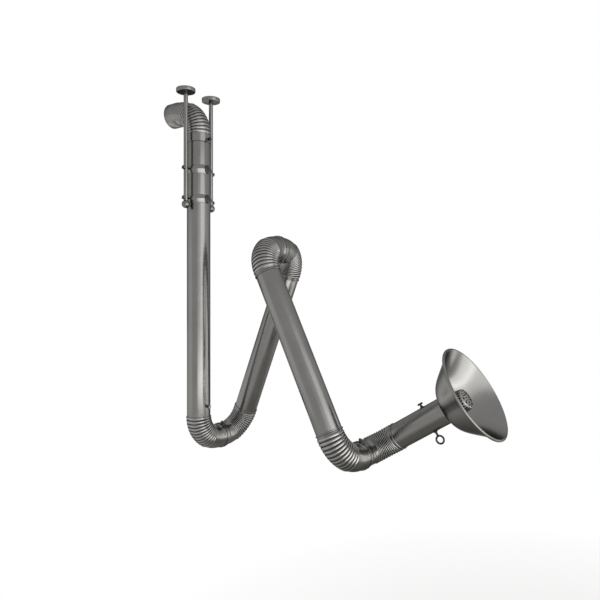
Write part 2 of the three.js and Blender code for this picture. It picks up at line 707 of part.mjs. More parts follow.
// Guard basket: a slotted cone on a plain seat, closed by a drilled end
const guardSeat = tubeBore * ductFlat - FIT_GAP;
const guardEnd = GUARD_END_DIAMETER / 2;
const guardOutline = [
  [0, guardReach - GUARD_WALL],
  [guardEnd - GUARD_WALL, guardReach - GUARD_WALL],
  [guardSeat - GUARD_WALL, hoodTubeEnd],
  [guardSeat - GUARD_WALL, hoodTubeEnd - GUARD_SEAT],
  [guardSeat, hoodTubeEnd - GUARD_SEAT],
  [guardSeat, hoodTubeEnd],
  [guardEnd, guardReach],
  [0, guardReach],
];
const slotMiddle = guardReach - SLOT_MARGIN - SLOT_LENGTH / 2;
const slots = series(SLOT_COUNT, (index) => {
  const slot = new THREE.BoxGeometry(guardSeat, SLOT_WIDTH, SLOT_LENGTH);
  const angle = ((index + 0.5) * 2 * Math.PI) / SLOT_COUNT;
  return slot.translate(guardSeat, 0, slotMiddle).rotateZ(angle);
});
const reach = Math.floor(HOLE_FIELD / HOLE_PITCH);
const row = series(2 * reach + 1, (index) => (index - reach) * HOLE_PITCH);
const endHoles = row
  .flatMap((x) => row.map((y) => [x, y]))
  .filter(([x, y]) => Math.hypot(x, y) < HOLE_FIELD)
  .map(([x, y]) => {
    const hole = [[0, -1], [1, -1], [1, 1], [0, 1]];
    const outline = hole.map(([out, end]) => [out * HOLE_DIAMETER / 2, guardReach + 2 * end * GUARD_WALL]);
    return turned(outline, HOLE_SIDES).translate(x, y, 0);
  });
piece(hood, "guard_basket", cut(turned(guardOutline, GUARD_SIDES), ...slots, ...endHoles), stainless);

// Damper: a shaft across the hood tube with a blade inside, a knob above and an eye below
const damper = frame(hood, [0, 0, damperReach]);
const flangeStart = tubeRadius * ductFlat + FIT_GAP;
const flangeEnd = flangeStart + BUSH_FLANGE_HEIGHT;
const bushStart = tubeBore * ductFlat - BUSH_INSIDE;
const bushBore = (shaftRadius + RUN_GAP) / Math.cos(Math.PI / SMALL_SIDES);
const bushOutline = [
  [bushBore, bushStart],
  [BUSH_DIAMETER / 2, bushStart],
  [BUSH_DIAMETER / 2, flangeStart],
  [BUSH_FLANGE / 2, flangeStart],
  [BUSH_FLANGE / 2, flangeEnd],
  [bushBore, flangeEnd],
  [bushBore, bushStart],
];
piece(damper, "damper_bush_knob_side", againstX(turned(bushOutline, SMALL_SIDES)), nylon);
piece(damper, "damper_bush_eye_side", alongX(turned(bushOutline, SMALL_SIDES)), nylon);

const handleStart = flangeEnd + RUN_GAP;
const shaftEnd = handleStart + HANDLE_SEAT - FIT_GAP;
const bladeScrewRadius = BLADE_SCREW_DIAMETER / 2;
const screwPlaces = [-BLADE_SCREW_SPREAD, BLADE_SCREW_SPREAD];
const shaftDrills = screwPlaces.map((x) => {
  return alongY(drill(bladeScrewRadius, -SHAFT_DIAMETER, SHAFT_DIAMETER)).translate(x, 0, 0);
});
piece(damper, "damper_shaft", cut(alongX(bar(shaftRadius, -shaftEnd, shaftEnd)), ...shaftDrills), polished);

const bladeStart = shaftRadius + FIT_GAP;
const bladeEnd = bladeStart + BLADE_THICKNESS;
const bladeOutline = new THREE.Shape(polygon(BLADE_DIAMETER / 2, BLADE_SIDES));
for (const x of screwPlaces) {
  const hole = polygon(holeRadius(bladeScrewRadius), SMALL_SIDES);
  bladeOutline.holes.push(new THREE.Path(hole.map((point) => point.setX(point.x + x))));
}
const blade = new THREE.ExtrudeGeometry(bladeOutline, { depth: BLADE_THICKNESS, bevelEnabled: false });
piece(damper, "damper_blade", alongY(blade.translate(0, 0, bladeStart)), stainless);
const bladeScrewOutline = [
  [0, -shaftRadius - BLADE_SCREW_OVERHANG],
  [bladeScrewRadius, -shaftRadius - BLADE_SCREW_OVERHANG],
  [bladeScrewRadius, bladeEnd + FIT_GAP],
  [BLADE_SCREW_HEAD / 2, bladeEnd + FIT_GAP],
  [BLADE_SCREW_HEAD / 2, bladeEnd + FIT_GAP + BLADE_SCREW_HEAD_HEIGHT],
  [0, bladeEnd + FIT_GAP + BLADE_SCREW_HEAD_HEIGHT],
];
["knob_side", "eye_side"].forEach((place, index) => {
  const screw = alongY(turned(bladeScrewOutline, SMALL_SIDES));
  piece(damper, "blade_screw_" + place, screw.translate(screwPlaces[index], 0, 0), polished);
});

const handleDrill = drill(shaftRadius, 0, handleStart + HANDLE_SEAT);
const stemRadius = HANDLE_STEM_DIAMETER / 2;
const knobBar = bar(KNOB_BAR_DIAMETER / 2, -KNOB_BAR_LENGTH / 2, KNOB_BAR_LENGTH / 2);
const knob = cut(
  join(bar(stemRadius, handleStart, KNOB_RISE), alongX(knobBar).translate(0, 0, KNOB_RISE)),
  handleDrill,
);
piece(damper, "damper_knob", againstX(knob), darkSteel);
const eyeWire = new THREE.TorusGeometry(EYE_DIAMETER / 2, EYE_WIRE / 2, EYE_SIDES, EYE_STEPS);
const eye = cut(
  join(bar(stemRadius, handleStart, EYE_RISE - EYE_DIAMETER / 2), alongY(eyeWire).translate(0, 0, EYE_RISE)),
  handleDrill,
);
piece(damper, "damper_eye", alongX(eye), darkSteel);

export default arm;
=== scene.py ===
# %% [markdown]
# # A fume extraction arm
# The arm hangs from a ceiling and is a chain of stainless ducts: a riser, two arms and a hood, joined by
# ribbed elbows that turn in each other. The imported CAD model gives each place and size. This lesson adds
# what the eye looks for on the real arm: round tubes, pressed ribs, rolled edges, knurled screws and
# satin steel under soft light.

# %% Load the frame
import json
import math

import bmesh
import bpy
from mathutils import Matrix, Vector


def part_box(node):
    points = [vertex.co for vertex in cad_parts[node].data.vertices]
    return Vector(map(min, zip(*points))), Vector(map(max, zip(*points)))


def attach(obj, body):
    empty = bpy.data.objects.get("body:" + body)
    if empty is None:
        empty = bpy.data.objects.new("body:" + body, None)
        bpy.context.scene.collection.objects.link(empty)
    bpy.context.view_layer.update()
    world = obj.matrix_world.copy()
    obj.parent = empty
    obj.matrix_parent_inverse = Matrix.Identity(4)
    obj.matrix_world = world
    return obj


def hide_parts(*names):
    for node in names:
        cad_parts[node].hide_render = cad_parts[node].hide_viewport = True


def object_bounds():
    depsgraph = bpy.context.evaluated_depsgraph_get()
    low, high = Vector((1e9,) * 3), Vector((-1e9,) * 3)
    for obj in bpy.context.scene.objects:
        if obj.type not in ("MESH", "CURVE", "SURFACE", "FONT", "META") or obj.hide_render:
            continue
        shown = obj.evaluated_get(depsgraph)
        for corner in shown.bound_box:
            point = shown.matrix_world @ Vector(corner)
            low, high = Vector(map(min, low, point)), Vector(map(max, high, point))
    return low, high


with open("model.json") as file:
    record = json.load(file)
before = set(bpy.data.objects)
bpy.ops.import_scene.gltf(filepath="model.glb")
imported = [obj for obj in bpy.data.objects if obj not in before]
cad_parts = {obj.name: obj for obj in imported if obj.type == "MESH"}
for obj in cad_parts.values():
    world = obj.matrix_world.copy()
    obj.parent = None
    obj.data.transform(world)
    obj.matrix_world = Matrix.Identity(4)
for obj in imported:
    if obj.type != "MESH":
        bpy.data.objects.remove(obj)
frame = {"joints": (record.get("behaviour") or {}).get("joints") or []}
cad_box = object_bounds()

# %% [markdown]
# ## Camera
# The photograph was taken level, a little in front of the hood. Straight edges of the tubes give the
# angle and the lens, so the camera is set by numbers and not by eye.

# %% Camera
CAMERA_PLACE = (1.950, -1.951, -0.9735)
CAMERA_TURN = 35  # degrees to the right of a square view
CAMERA_LENS = 34.53

scene = bpy.context.scene


def place_in_scene(name, data):
    made = bpy.data.objects.new(name, data)
    scene.collection.objects.link(made)
    return made


camera = place_in_scene("photo_camera", bpy.data.cameras.new("photo_camera"))
camera.data.sensor_width = 36
camera.data.lens = CAMERA_LENS
camera.location = CAMERA_PLACE
camera.rotation_euler = (math.radians(90), 0, math.radians(CAMERA_TURN))
scene.camera = camera
scene.view_settings.view_transform = "Standard"
print("camera", [round(value, 3) for value in camera.location], "lens", camera.data.lens)

# %% [markdown]
# ## Nodes in code
# Every material and every Geometry Nodes tree below is wired in this script. One small function adds a
# node, sets its properties and fills its inputs, each with a value or with the output of an earlier node.
# Inputs go by name or by number. Map Range takes its value as 0, the range that it comes from as 1 and 2
# and the range that it goes to as 3 and 4. A colour Mix takes its share as 0 and its colours as 6 and 7,
# and gives the mixed colour as output 2.

# %% Add a node
def linear(hex_colour):
    """An sRGB colour such as 8c8c8a, as the linear colour that shaders work in."""
    parts = [int(hex_colour[i:i + 2], 16) / 255 for i in (0, 2, 4)]
    return [p / 12.92 if p <= 0.04045 else ((p + 0.055) / 1.055) ** 2.4 for p in parts] + [1]


def add(tree, kind, inputs=None, **settings):
    """A new node in a tree. An input takes a value, an output socket, or a node for its first output."""
    node = tree.nodes.new(kind)
    for name, value in settings.items():
        setattr(node, name, value)
    for key, value in (inputs or {}).items():
        source = value.outputs[0] if isinstance(value, bpy.types.Node) else value
        if isinstance(source, bpy.types.NodeSocket):
            tree.links.new(source, node.inputs[key])
        else:
            node.inputs[key].default_value = source
    return node


print("satin steel in linear light:", [round(value, 3) for value in linear("7e7d7b")])

# %% [markdown]
# ## White studio
# The picture has a white ground and metal that mirrors a bright room. The world is plain white to the
# camera. Metal sees pale walls and a pale ceiling, and everything matt gets an even grey light. Doing
# this with the kind of ray keeps the white ground out of the light on the arm.

# %% World
AMBIENT = 0.55  # what matt surfaces receive
ROOM = 0.78  # how bright metal sees the walls and the ceiling

world = bpy.data.worlds.new("white_studio")
scene.world = world
world.use_nodes = True
tree = world.node_tree
tree.nodes.clear()
ray = add(tree, "ShaderNodeLightPath")
lit = add(tree, "ShaderNodeMapRange", {0: ray.outputs["Is Glossy Ray"], 1: 0.0, 2: 1.0, 3: AMBIENT, 4: ROOM})
clear = add(tree, "ShaderNodeMath",
            {0: ray.outputs["Is Camera Ray"], 1: ray.outputs["Is Transmission Ray"]}, operation="MAXIMUM")
level = add(tree, "ShaderNodeMath", {0: lit, 1: clear}, operation="MAXIMUM")
add(tree, "ShaderNodeOutputWorld", {0: add(tree, "ShaderNodeBackground", {0: linear("ffffff"), 1: level})})
print("world:", len(tree.nodes), "nodes")

# %% [markdown]
# ## Soft lamps
# Satin steel is a blurred mirror, so the lamps are set by what the tubes show: a broad light to the right
# of the camera with soft sides, a low bright one that fills the bowl, a narrow strip further round and
# weak light from the other side and from behind. A soft box is described by its brightness as seen from
# the arm. Its power follows from the brightness and its area.

# %% Lamps
ARM_MIDDLE = (cad_box[0] + cad_box[1]) / 2


def soft_box(name, azimuth, elevation, distance, width, height, brightness):
    """A soft box aimed at the arm. Azimuth is to the right of the camera, in degrees."""
    turn, rise = math.radians(CAMERA_TURN + azimuth), math.radians(elevation)
    away = Vector((math.sin(turn) * math.cos(rise), -math.cos(turn) * math.cos(rise), math.sin(rise)))
    lamp = place_in_scene(name, bpy.data.lights.new(name, "AREA"))
    lamp.data.shape = "RECTANGLE"
    lamp.data.size, lamp.data.size_y = width, height
    lamp.data.energy = brightness * math.pi * width * height
    lamp.location = ARM_MIDDLE + away * distance
    lamp.rotation_euler = away.to_track_quat("Z", "Y").to_euler()
    lamp.visible_camera = False
    print(name, round(lamp.data.energy, 1), "W")


soft_box("key_box", azimuth=45, elevation=7.5, distance=4.5, width=3.6, height=4.2, brightness=1.1)
soft_box("wide_box", azimuth=39, elevation=0, distance=4.5, width=8.0, height=3.2, brightness=0.55)
soft_box("low_box", azimuth=38, elevation=-23, distance=3.4, width=6.2, height=1.2, brightness=2.3)
soft_box("side_strip", azimuth=103, elevation=-12, distance=3.4, width=0.9, height=2.4, brightness=1.8)
soft_box("fill_box", azimuth=-88, elevation=-8, distance=3.4, width=3.0, height=2.4, brightness=0.3)
soft_box("back_box", azimuth=-140, elevation=-30, distance=3.4, width=3.0, height=3.0, brightness=0.9)

# %% [markdown]
# ## Floor
# The floor of the room lies well below the hood. Near the hood it is a pale matt surface that keeps the
# soft shadow. Further out it fades to the white of the world, so no horizon shows behind the arm, and
# steel sees it a little darker than the camera does.

# %% Floor
FLOOR_DEPTH, FLOOR_HALF = -2.7, 60
DIM_SPOT = (1.85, 0.45)  # beside the hood
SHADE_START, SHADE_END = 0.6, 2.4  # metres from the spot, where the shadow begins to fade and is gone
GREY_START, GREY_END = 1.3, 2.3  # the same for the grey that steel sees
NEAR_WHITE, STEEL_WHITE = 0.75, 0.8  # shares of white: to the camera at the spot, to steel far out

mesh = bpy.data.meshes.new("floor")
corners = [(-FLOOR_HALF, -FLOOR_HALF), (FLOOR_HALF, -FLOOR_HALF), (FLOOR_HALF, FLOOR_HALF),
           (-FLOOR_HALF, FLOOR_HALF)]
mesh.from_pydata([(x, y, FLOOR_DEPTH) for x, y in corners], [], [(0, 1, 2, 3)])
floor = place_in_scene("floor", mesh)
paint = bpy.data.materials.new("pale_floor_paint")
paint.use_nodes = True
tree = paint.node_tree
tree.nodes.clear()
ray = add(tree, "ShaderNodeLightPath")
spot = add(tree, "ShaderNodeMapping", {0: add(tree, "ShaderNodeTexCoord").outputs["Object"],
                                       1: (-DIM_SPOT[0], -DIM_SPOT[1], -FLOOR_DEPTH)})
reach = add(tree, "ShaderNodeVectorMath", {0: spot}, operation="LENGTH").outputs["Value"]
fade = add(tree, "ShaderNodeMapRange", {0: reach, 1: SHADE_START, 2: SHADE_END, 3: NEAR_WHITE, 4: 1.0})
far = add(tree, "ShaderNodeMapRange", {0: reach, 1: GREY_START, 2: GREY_END, 3: 0.0, 4: STEEL_WHITE})
mirrored = add(tree, "ShaderNodeMath", {0: ray.outputs["Is Glossy Ray"], 1: far}, operation="MULTIPLY")
clear = add(tree, "ShaderNodeMath",
            {0: ray.outputs["Is Camera Ray"], 1: ray.outputs["Is Transmission Ray"]}, operation="MAXIMUM")
seen = add(tree, "ShaderNodeMath", {0: clear, 1: mirrored}, operation="MAXIMUM")
share = add(tree, "ShaderNodeMath", {0: seen, 1: fade}, operation="MULTIPLY")
matt = add(tree, "ShaderNodeBsdfDiffuse", {0: linear("b6b4ae")})
glow = add(tree, "ShaderNodeEmission", {0: linear("ffffff"), 1: 1.0})
add(tree, "ShaderNodeOutputMaterial", {0: add(tree, "ShaderNodeMixShader", {0: share, 1: matt, 2: glow})})
floor.data.materials.append(paint)
print("floor at", FLOOR_DEPTH, "m")

# %% [markdown]
# ## Steels
# Four steels show on the arm. The ducts are satin stainless: a belt has drawn fine lines round each tube,
# so highlights are broad and soft. The balls, nuts and small screws are polished. The guard is paler, as
# pressed. The lock screw, the studs and the damper's handles are dark zinc-plated steel. They differ in
# colour, in gloss and in how strong the lines are, so one recipe makes all four. The lines follow the
# piece's own grain map, a UV map in metres that runs round the piece and along it. Real lines are about
# 0.2 mm apart, too fine for this picture, so they are drawn 3 mm apart. Two marks on a mesh change the
# steel. Faces marked as the inside of a duct get a painted shade, dark and dull, for the shade in the duct.
# The rib shading gives the crests of ribs a painted highlight and their grooves a painted shade.

# %% Steel finishes
LINE_LENGTH, LINE_SPACING, LINE_DEPTH = 0.060, 0.003, 0.0002  # metres
HANDLED_SIZE = 0.110  # metres across a patch that hands have dulled
LINE_SHARE = 0.45  # how much the lines change the tone, beside the patches
# Painted shade: its colour inside a duct and in the grooves of ribs, and the roughness inside a duct
PAINTED_SHADE, INSIDE_ROUGHNESS = "1c1a18", 0.7
CREST_HIGHLIGHT, CREST_HIGHLIGHT_SHARE = "c4c4c2", 0.3  # a painted highlight on the crests of ribs
GROOVE_SHADE_FROM, GROOVE_SHADE_SHARE = -0.6, 0.9  # rib shading at which a groove's painted shade is full, and how much it covers


def steel(name, dark, light, smooth, rough, line_strength, edge):
    """A metal between two colours and two roughnesses. Edge is the tint of its glancing reflection."""
    made = bpy.data.materials.new(name)
    made.use_nodes = True
    tree = made.node_tree
    shader = tree.nodes["Principled BSDF"]
    shader.inputs["Metallic"].default_value = 1
    shader.inputs["Specular Tint"].default_value = linear(edge)
    grain = add(tree, "ShaderNodeUVMap", uv_map="grain")
    along = add(tree, "ShaderNodeMapping", {0: grain, 3: (1 / LINE_LENGTH, 1 / LINE_SPACING, 1)})
    lines = add(tree, "ShaderNodeTexNoise", {"Vector": along, "Scale": 1.0, "Detail": 3.0})
    place = add(tree, "ShaderNodeTexCoord").outputs["Object"]
    handled = add(tree, "ShaderNodeTexNoise", {"Vector": place, "Scale": 1 / HANDLED_SIZE, "Detail": 4.0})
    both = add(tree, "ShaderNodeMath", {0: lines, 1: LINE_SHARE, 2: handled}, operation="MULTIPLY_ADD")
    tone = add(tree, "ShaderNodeMapRange", {0: both, 1: 0.45, 2: 1.0, 3: 0.0, 4: 1.0})
    clean = add(tree, "ShaderNodeMix", {0: tone, 6: linear(dark), 7: linear(light)}, data_type="RGBA")
    gloss = add(tree, "ShaderNodeMapRange", {0: both, 1: 0.45, 2: 1.0, 3: smooth, 4: rough})
    # Painted highlight and shade: the rib shading that the bend stores paints crests lighter and grooves
    # darker
    rib_shading = add(tree, "ShaderNodeAttribute", attribute_name="rib_shading").outputs["Fac"]
    crest_highlight = add(tree, "ShaderNodeMapRange", {0: rib_shading, 1: 0.0, 2: 1.0, 3: 0.0, 4: CREST_HIGHLIGHT_SHARE})
    bright = add(tree, "ShaderNodeMix", {0: crest_highlight, 6: clean.outputs[2], 7: linear(CREST_HIGHLIGHT)}, data_type="RGBA")
    groove_shade = add(tree, "ShaderNodeMapRange", {0: rib_shading, 1: 0.0, 2: GROOVE_SHADE_FROM, 3: 0.0, 4: GROOVE_SHADE_SHARE})
    wear_and_shade = add(tree, "ShaderNodeMix", {0: groove_shade, 6: bright.outputs[2], 7: linear(PAINTED_SHADE)}, data_type="RGBA")
    # Painted shade: faces on the inside of a duct are painted dark and made dull
    inside_shade = add(tree, "ShaderNodeAttribute", attribute_name="inside").outputs["Fac"]
    colour = add(tree, "ShaderNodeMix", {0: inside_shade, 6: wear_and_shade.outputs[2], 7: linear(PAINTED_SHADE)}, data_type="RGBA")
    dulled = add(tree, "ShaderNodeMapRange", {0: inside_shade, 1: 0.0, 2: 1.0, 3: gloss, 4: INSIDE_ROUGHNESS})
    relief = add(tree, "ShaderNodeBump", {"Strength": line_strength, "Distance": LINE_DEPTH, "Height": lines})
    tree.links.new(colour.outputs[2], shader.inputs["Base Color"])
    tree.links.new(dulled.outputs[0], shader.inputs["Roughness"])
    tree.links.new(relief.outputs[0], shader.inputs["Normal"])
    print(name, len(tree.nodes), "nodes")
    return made


FINISHES = {
    "satin_stainless": steel("belt_brushed_stainless", "7a7977", "838280", 0.22, 0.28, 0.02, "959593"),
    "polished_stainless": steel("polished_stainless_bar", "6c6c6a", "787876", 0.05, 0.09, 0.02, "9a9a98"),
    "bright_guard": steel("bright_pressed_stainless", "929290", "9e9e9c", 0.30, 0.40, 0.02, "959593"),
    "dark_zinc_steel": steel("black_zinc_plated_steel", "3a3a39", "4c4b49", 0.26, 0.40, 0.04, "bcbcba"),
}

# %% [markdown]
# ## Plastics and rubber
# The guide caps and bushes are black nylon, moulded in a lightly eroded tool, so they have a dull even
# sheen. The seal is black rubber, duller still. The slip rings are a white low-friction plastic. Each has
# a fine moulded grain of a real size and a slow change of tone where it was handled.

# %% Moulded finishes
PATCH_SIZE, PATCH_SHEEN = 0.030, 0.06  # metres across a handled patch, and how far it shifts the roughness
GRAIN_DEPTH = 0.0002


def moulded(name, dark, light, roughness, grain_size, grain_strength):
    """A moulded plastic or rubber with a grain of the given size in metres."""
    made = bpy.data.materials.new(name)
    made.use_nodes = True
    tree = made.node_tree
    shader = tree.nodes["Principled BSDF"]
    place = add(tree, "ShaderNodeTexCoord").outputs["Object"]
    grain = add(tree, "ShaderNodeTexNoise", {"Vector": place, "Scale": 1 / grain_size, "Detail": 2.0})
    wear_and_shade = add(tree, "ShaderNodeTexNoise", {"Vector": place, "Scale": 1 / PATCH_SIZE, "Detail": 3.0})
    colour = add(tree, "ShaderNodeMix", {0: wear_and_shade, 6: linear(dark), 7: linear(light)}, data_type="RGBA")
    gloss = add(tree, "ShaderNodeMapRange",
                {0: wear_and_shade, 1: 0.3, 2: 0.7, 3: roughness - PATCH_SHEEN, 4: roughness + PATCH_SHEEN})
    relief = add(tree, "ShaderNodeBump",
                 {"Strength": grain_strength, "Distance": GRAIN_DEPTH, "Height": grain})
    tree.links.new(colour.outputs[2], shader.inputs["Base Color"])
    tree.links.new(gloss.outputs[0], shader.inputs["Roughness"])
    tree.links.new(relief.outputs[0], shader.inputs["Normal"])
    print(name, len(tree.nodes), "nodes")
    return made


FINISHES["black_nylon"] = moulded("moulded_black_nylon", "131313", "20201f", 0.28, 0.0015, 0.10)
FINISHES["black_rubber"] = moulded("moulded_black_rubber", "161616", "262626", 0.75, 0.0010, 0.20)
FINISHES["white_slip_plastic"] = moulded("moulded_white_plastic", "dcdad3", "eeece6", 0.45, 0.0012, 0.08)

# %% [markdown]
# ## Turned pieces
# Most pieces of the arm are round: tubes, discs, rings, screws. A lathe makes them from half an outline,
# and so does the function here, in millimetres about Z. It also lays the grain map on the piece. Sharp
# corners never catch light, so a second function rounds an outline's corners before it is turned, as a
# rolled or deburred edge is.

# %% Skins
MILLIMETRE = 0.001
SHARP = math.radians(32)  # edges that turn more than this stay crisp


def skin(name, rings, loop=False):
    """A closed mesh through rings of points. A loop of rings joins its last ring to its first."""
    sides, rows = len(rings[0]), len(rings)
    middle = [Vector(point) for point in rings[rows // 2]]
    girth = sum((a - b).length for a, b in zip(middle, middle[1:] + middle[:1]))
    heights = [0]
    for low, high in zip(rings, rings[1:] + rings[:1]):
        heights.append(heights[-1] + (Vector(low[0]) - Vector(high[0])).length)
    faces, grain = [], []
    for row in range(rows if loop else rows - 1):
        here, above = row * sides, (row + 1) % rows * sides
        for side in range(sides):
            beside = (side + 1) % sides
            faces.append((here + side, here + beside, above + beside, above + side))
            left, right = girth * side / sides, girth * (side + 1) / sides
            low, high = heights[row], heights[row + 1]
            grain += [left, low, right, low, right, high, left, high]
    mesh = bpy.data.meshes.new(name)
    mesh.from_pydata([point for ring in rings for point in ring], [], faces)
    mesh.uv_layers.new(name="grain").data.foreach_set("uv", [value * MILLIMETRE for value in grain])
    return place_in_scene(name, close_up(mesh))


def close_up(mesh):
    """Merges the points of each pole, turns the faces outwards and marks the crisp edges."""
    loose = bmesh.new()
    loose.from_mesh(mesh)
    bmesh.ops.remove_doubles(loose, verts=loose.verts, dist=1e-4)
    if loose.calc_volume(signed=True) < 0:
        bmesh.ops.reverse_faces(loose, faces=loose.faces)
    loose.to_mesh(mesh)
    loose.free()
    mesh.shade_smooth()
    mesh.set_sharp_from_angle(angle=SHARP)
    return mesh


print("edges stay crisp from", round(math.degrees(SHARP)), "degrees")

# %% Lathe and outlines
INWARD = -0.1  # a normal that leans this much to the axis is on the inside


def compass(sides):
    """The directions of the corners of a regular polygon."""
    return [(math.cos(2 * math.pi * k / sides), math.sin(2 * math.pi * k / sides)) for k in range(sides)]


def turned(name, outline, sides=64):
    """A piece turned about Z from (radius, height) points. If it starts on the axis, it also ends there."""
    ways = compass(sides)
    rings = [[(radius * x, radius * y, height) for x, y in ways] for radius, height in outline]
    return skin(name, rings, loop=outline[0][0] > 0)


def mark_inside(piece):
    """Marks the faces that look at the axis, which the steel paints with a dark shade as the duct's shaded
    inside.
    """
    inward = [float(face.normal.xy.dot(face.center.xy) < INWARD) for face in piece.data.polygons]
    piece.data.attributes.new("inside", "FLOAT", "FACE").data.foreach_set("value", inward)
    return piece


def square(bore, radius, low, high):
    """The outline of a straight ring, or of a bar where the bore is 0."""
    return [(bore, low), (radius, low), (radius, high), (bore, high)]


def rounded(outline, edge, steps=3):
    """The outline with its corners rounded by edge, or by half of a shorter side."""
    points = [Vector(point) for point in outline]
    ring = outline[0][0] > 0
    made = []
    for index, corner in enumerate(points):
        if not ring and index in (0, len(points) - 1):
            made.append(tuple(corner))
            continue
        before, after = points[index - 1] - corner, points[(index + 1) % len(points)] - corner
        start = corner + before.normalized() * min(edge, before.length / 2)
        end = corner + after.normalized() * min(edge, after.length / 2)
        for step in range(steps + 1):
            share = step / steps
            made.append(tuple(start.lerp(corner, share).lerp(corner.lerp(end, share), share)))
    return made


print("outline of a ring, rounded:", len(rounded(square(1, 2, 0, 1), 0.2)), "points")

# %% [markdown]
# ## Places
# Each piece is made where it is easy to draw and is then moved into its frame. The frames are the ones
# that the arm folds by: the lower arm leans out from the riser, the upper arm comes back down, and the
# hood points up again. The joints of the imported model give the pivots, and so the length and the lean of
# each arm. The place goes into the mesh, and the object stays at the origin, so that patterns on object
# coordinates stay put.

# %% Frames of the arm
PIVOTS = {joint["name"]: [part / MILLIMETRE for part in joint["pos_m"]] for joint in frame["joints"]}


def span(start, end):
    """The length of an arm between two pivots, seen from the front, and its lean in degrees."""
    along, rise = PIVOTS[end][0] - PIVOTS[start][0], PIVOTS[end][2] - PIVOTS[start][2]
    return math.hypot(along, rise), math.degrees(math.atan2(along, abs(rise)))


def move(x, y, z):
    return Matrix.Translation((x, y, z))


def turn(degrees, axis):
    return Matrix.Rotation(math.radians(degrees), 4, axis)


OUTLET_DROP = 76.5
KNUCKLE_DROP = -PIVOTS["lower_swivel"][2]
SWIVEL_OFFSET = PIVOTS["damper_turn"][1]  # the lower arm and the hood lie this far behind the riser
LOWER_ARM_LENGTH, LOWER_ARM_LEAN = span("lower_swivel", "upper_swivel")
UPPER_ARM_LENGTH, UPPER_ARM_LEAN = span("upper_swivel", "wrist_swivel")
DAMPER_REACH, HOOD_LEAN = span("wrist_swivel", "damper_turn")

HANGER = Matrix()
OUTLET = move(0, 0, -OUTLET_DROP) @ turn(180, "Y") @ turn(-90, "Z")
RISER_FOOT = move(0, 0, -KNUCKLE_DROP)
LOWER_ARM = move(0, SWIVEL_OFFSET, -KNUCKLE_DROP) @ turn(LOWER_ARM_LEAN, "Y")
LOWER_FOOT = LOWER_ARM @ turn(180, "Z")
LOWER_HEAD = LOWER_ARM @ move(0, 0, LOWER_ARM_LENGTH) @ turn(180, "X")
UPPER_ARM = move(0, -SWIVEL_OFFSET, 0) @ move(*LOWER_HEAD.translation) @ turn(-UPPER_ARM_LEAN, "Y")
UPPER_HEAD = UPPER_ARM @ turn(180, "Y")
UPPER_FOOT = UPPER_ARM @ move(0, 0, -UPPER_ARM_LENGTH)
HOOD = move(0, SWIVEL_OFFSET, 0) @ move(*UPPER_FOOT.translation) @ turn(HOOD_LEAN, "Y")
HOOD_FOOT = HOOD @ turn(180, "Z")
DAMPER = HOOD @ move(0, 0, DAMPER_REACH)
print("lower arm", round(LOWER_ARM_LENGTH, 2), "mm, upper arm", round(UPPER_ARM_LENGTH, 2), "mm")
print("wrist at", [round(value) for value in HOOD.translation], "mm")


# %% How a piece is fitted
def fit(piece, place, body, finish, *nodes):
    """Moves a piece made in millimetres into its place and body, instead of the CAD nodes it stands for."""
    piece.data.transform(Matrix.Scale(MILLIMETRE, 4) @ place)
    if not piece.data.materials:
        piece.data.materials.append(FINISHES[finish])
    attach(piece, body)
    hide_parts(*nodes)
    points = [vertex.co for vertex in piece.data.vertices]
    boxes = [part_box(node) for node in nodes]
    above = [max(p[k] for p in points) - max(box[1][k] for box in boxes) for k in range(3)]
    below = [min(box[0][k] for box in boxes) - min(p[k] for p in points) for k in range(3)]
    proud = max(above + below) / MILLIMETRE
    print(f"{piece.name}: {len(points)} points, {proud:.1f} mm proud of its solid")


# %% [markdown]
# ## Geometry Nodes as a workshop
# What repeats, or follows a bend, is made by Geometry Nodes trees with named sizes. A tree runs on one
# blank, and the result is kept as a plain mesh, because the model that is handed on holds meshes and no
# modifiers.

# %% Make a tree and run it
def new_tree(name, **sizes):
    """A Geometry Nodes tree with a blank, a finish and named sizes. Returns the tree and its input node."""
    tree = bpy.data.node_groups.new(name, "GeometryNodeTree")
    tree.interface.new_socket("Blank", in_out="INPUT", socket_type="NodeSocketGeometry")
    for size, value in sizes.items():
        kind = "NodeSocketInt" if isinstance(value, int) else "NodeSocketFloat"
        tree.interface.new_socket(size, in_out="INPUT", socket_type=kind).default_value = value
    tree.interface.new_socket("finish", in_out="INPUT", socket_type="NodeSocketMaterial")
    tree.interface.new_socket("Piece", in_out="OUTPUT", socket_type="NodeSocketGeometry")
    return tree, add(tree, "NodeGroupInput")


def end_tree(tree, sizes, made):
    """Ends a tree: instances become real, and the finish goes on."""
    real = add(tree, "GeometryNodeRealizeInstances", {0: made})
    coated = add(tree, "GeometryNodeSetMaterial", {0: real, "Material": sizes.outputs["finish"]})
    add(tree, "NodeGroupOutput", {0: coated})
    print(tree.name, len(tree.nodes), "nodes")


def work(blank, tree, finish, **sizes):
    """Runs a tree on a blank and keeps the result as the blank's own plain mesh."""
    chosen = dict(sizes, finish=FINISHES[finish])
    modifier = blank.modifiers.new(tree.name, "NODES")
    modifier.node_group = tree
    for item in tree.interface.items_tree:
        if item.in_out == "INPUT" and item.name in chosen:
            modifier[item.identifier] = chosen[item.name]
    shaped = blank.evaluated_get(bpy.context.evaluated_depsgraph_get())
    made = bpy.data.meshes.new_from_object(shaped)
    blank.modifiers.remove(modifier)
    blank.data = made
    made.shade_smooth()
    made.set_sharp_from_angle(angle=SHARP)
    return blank


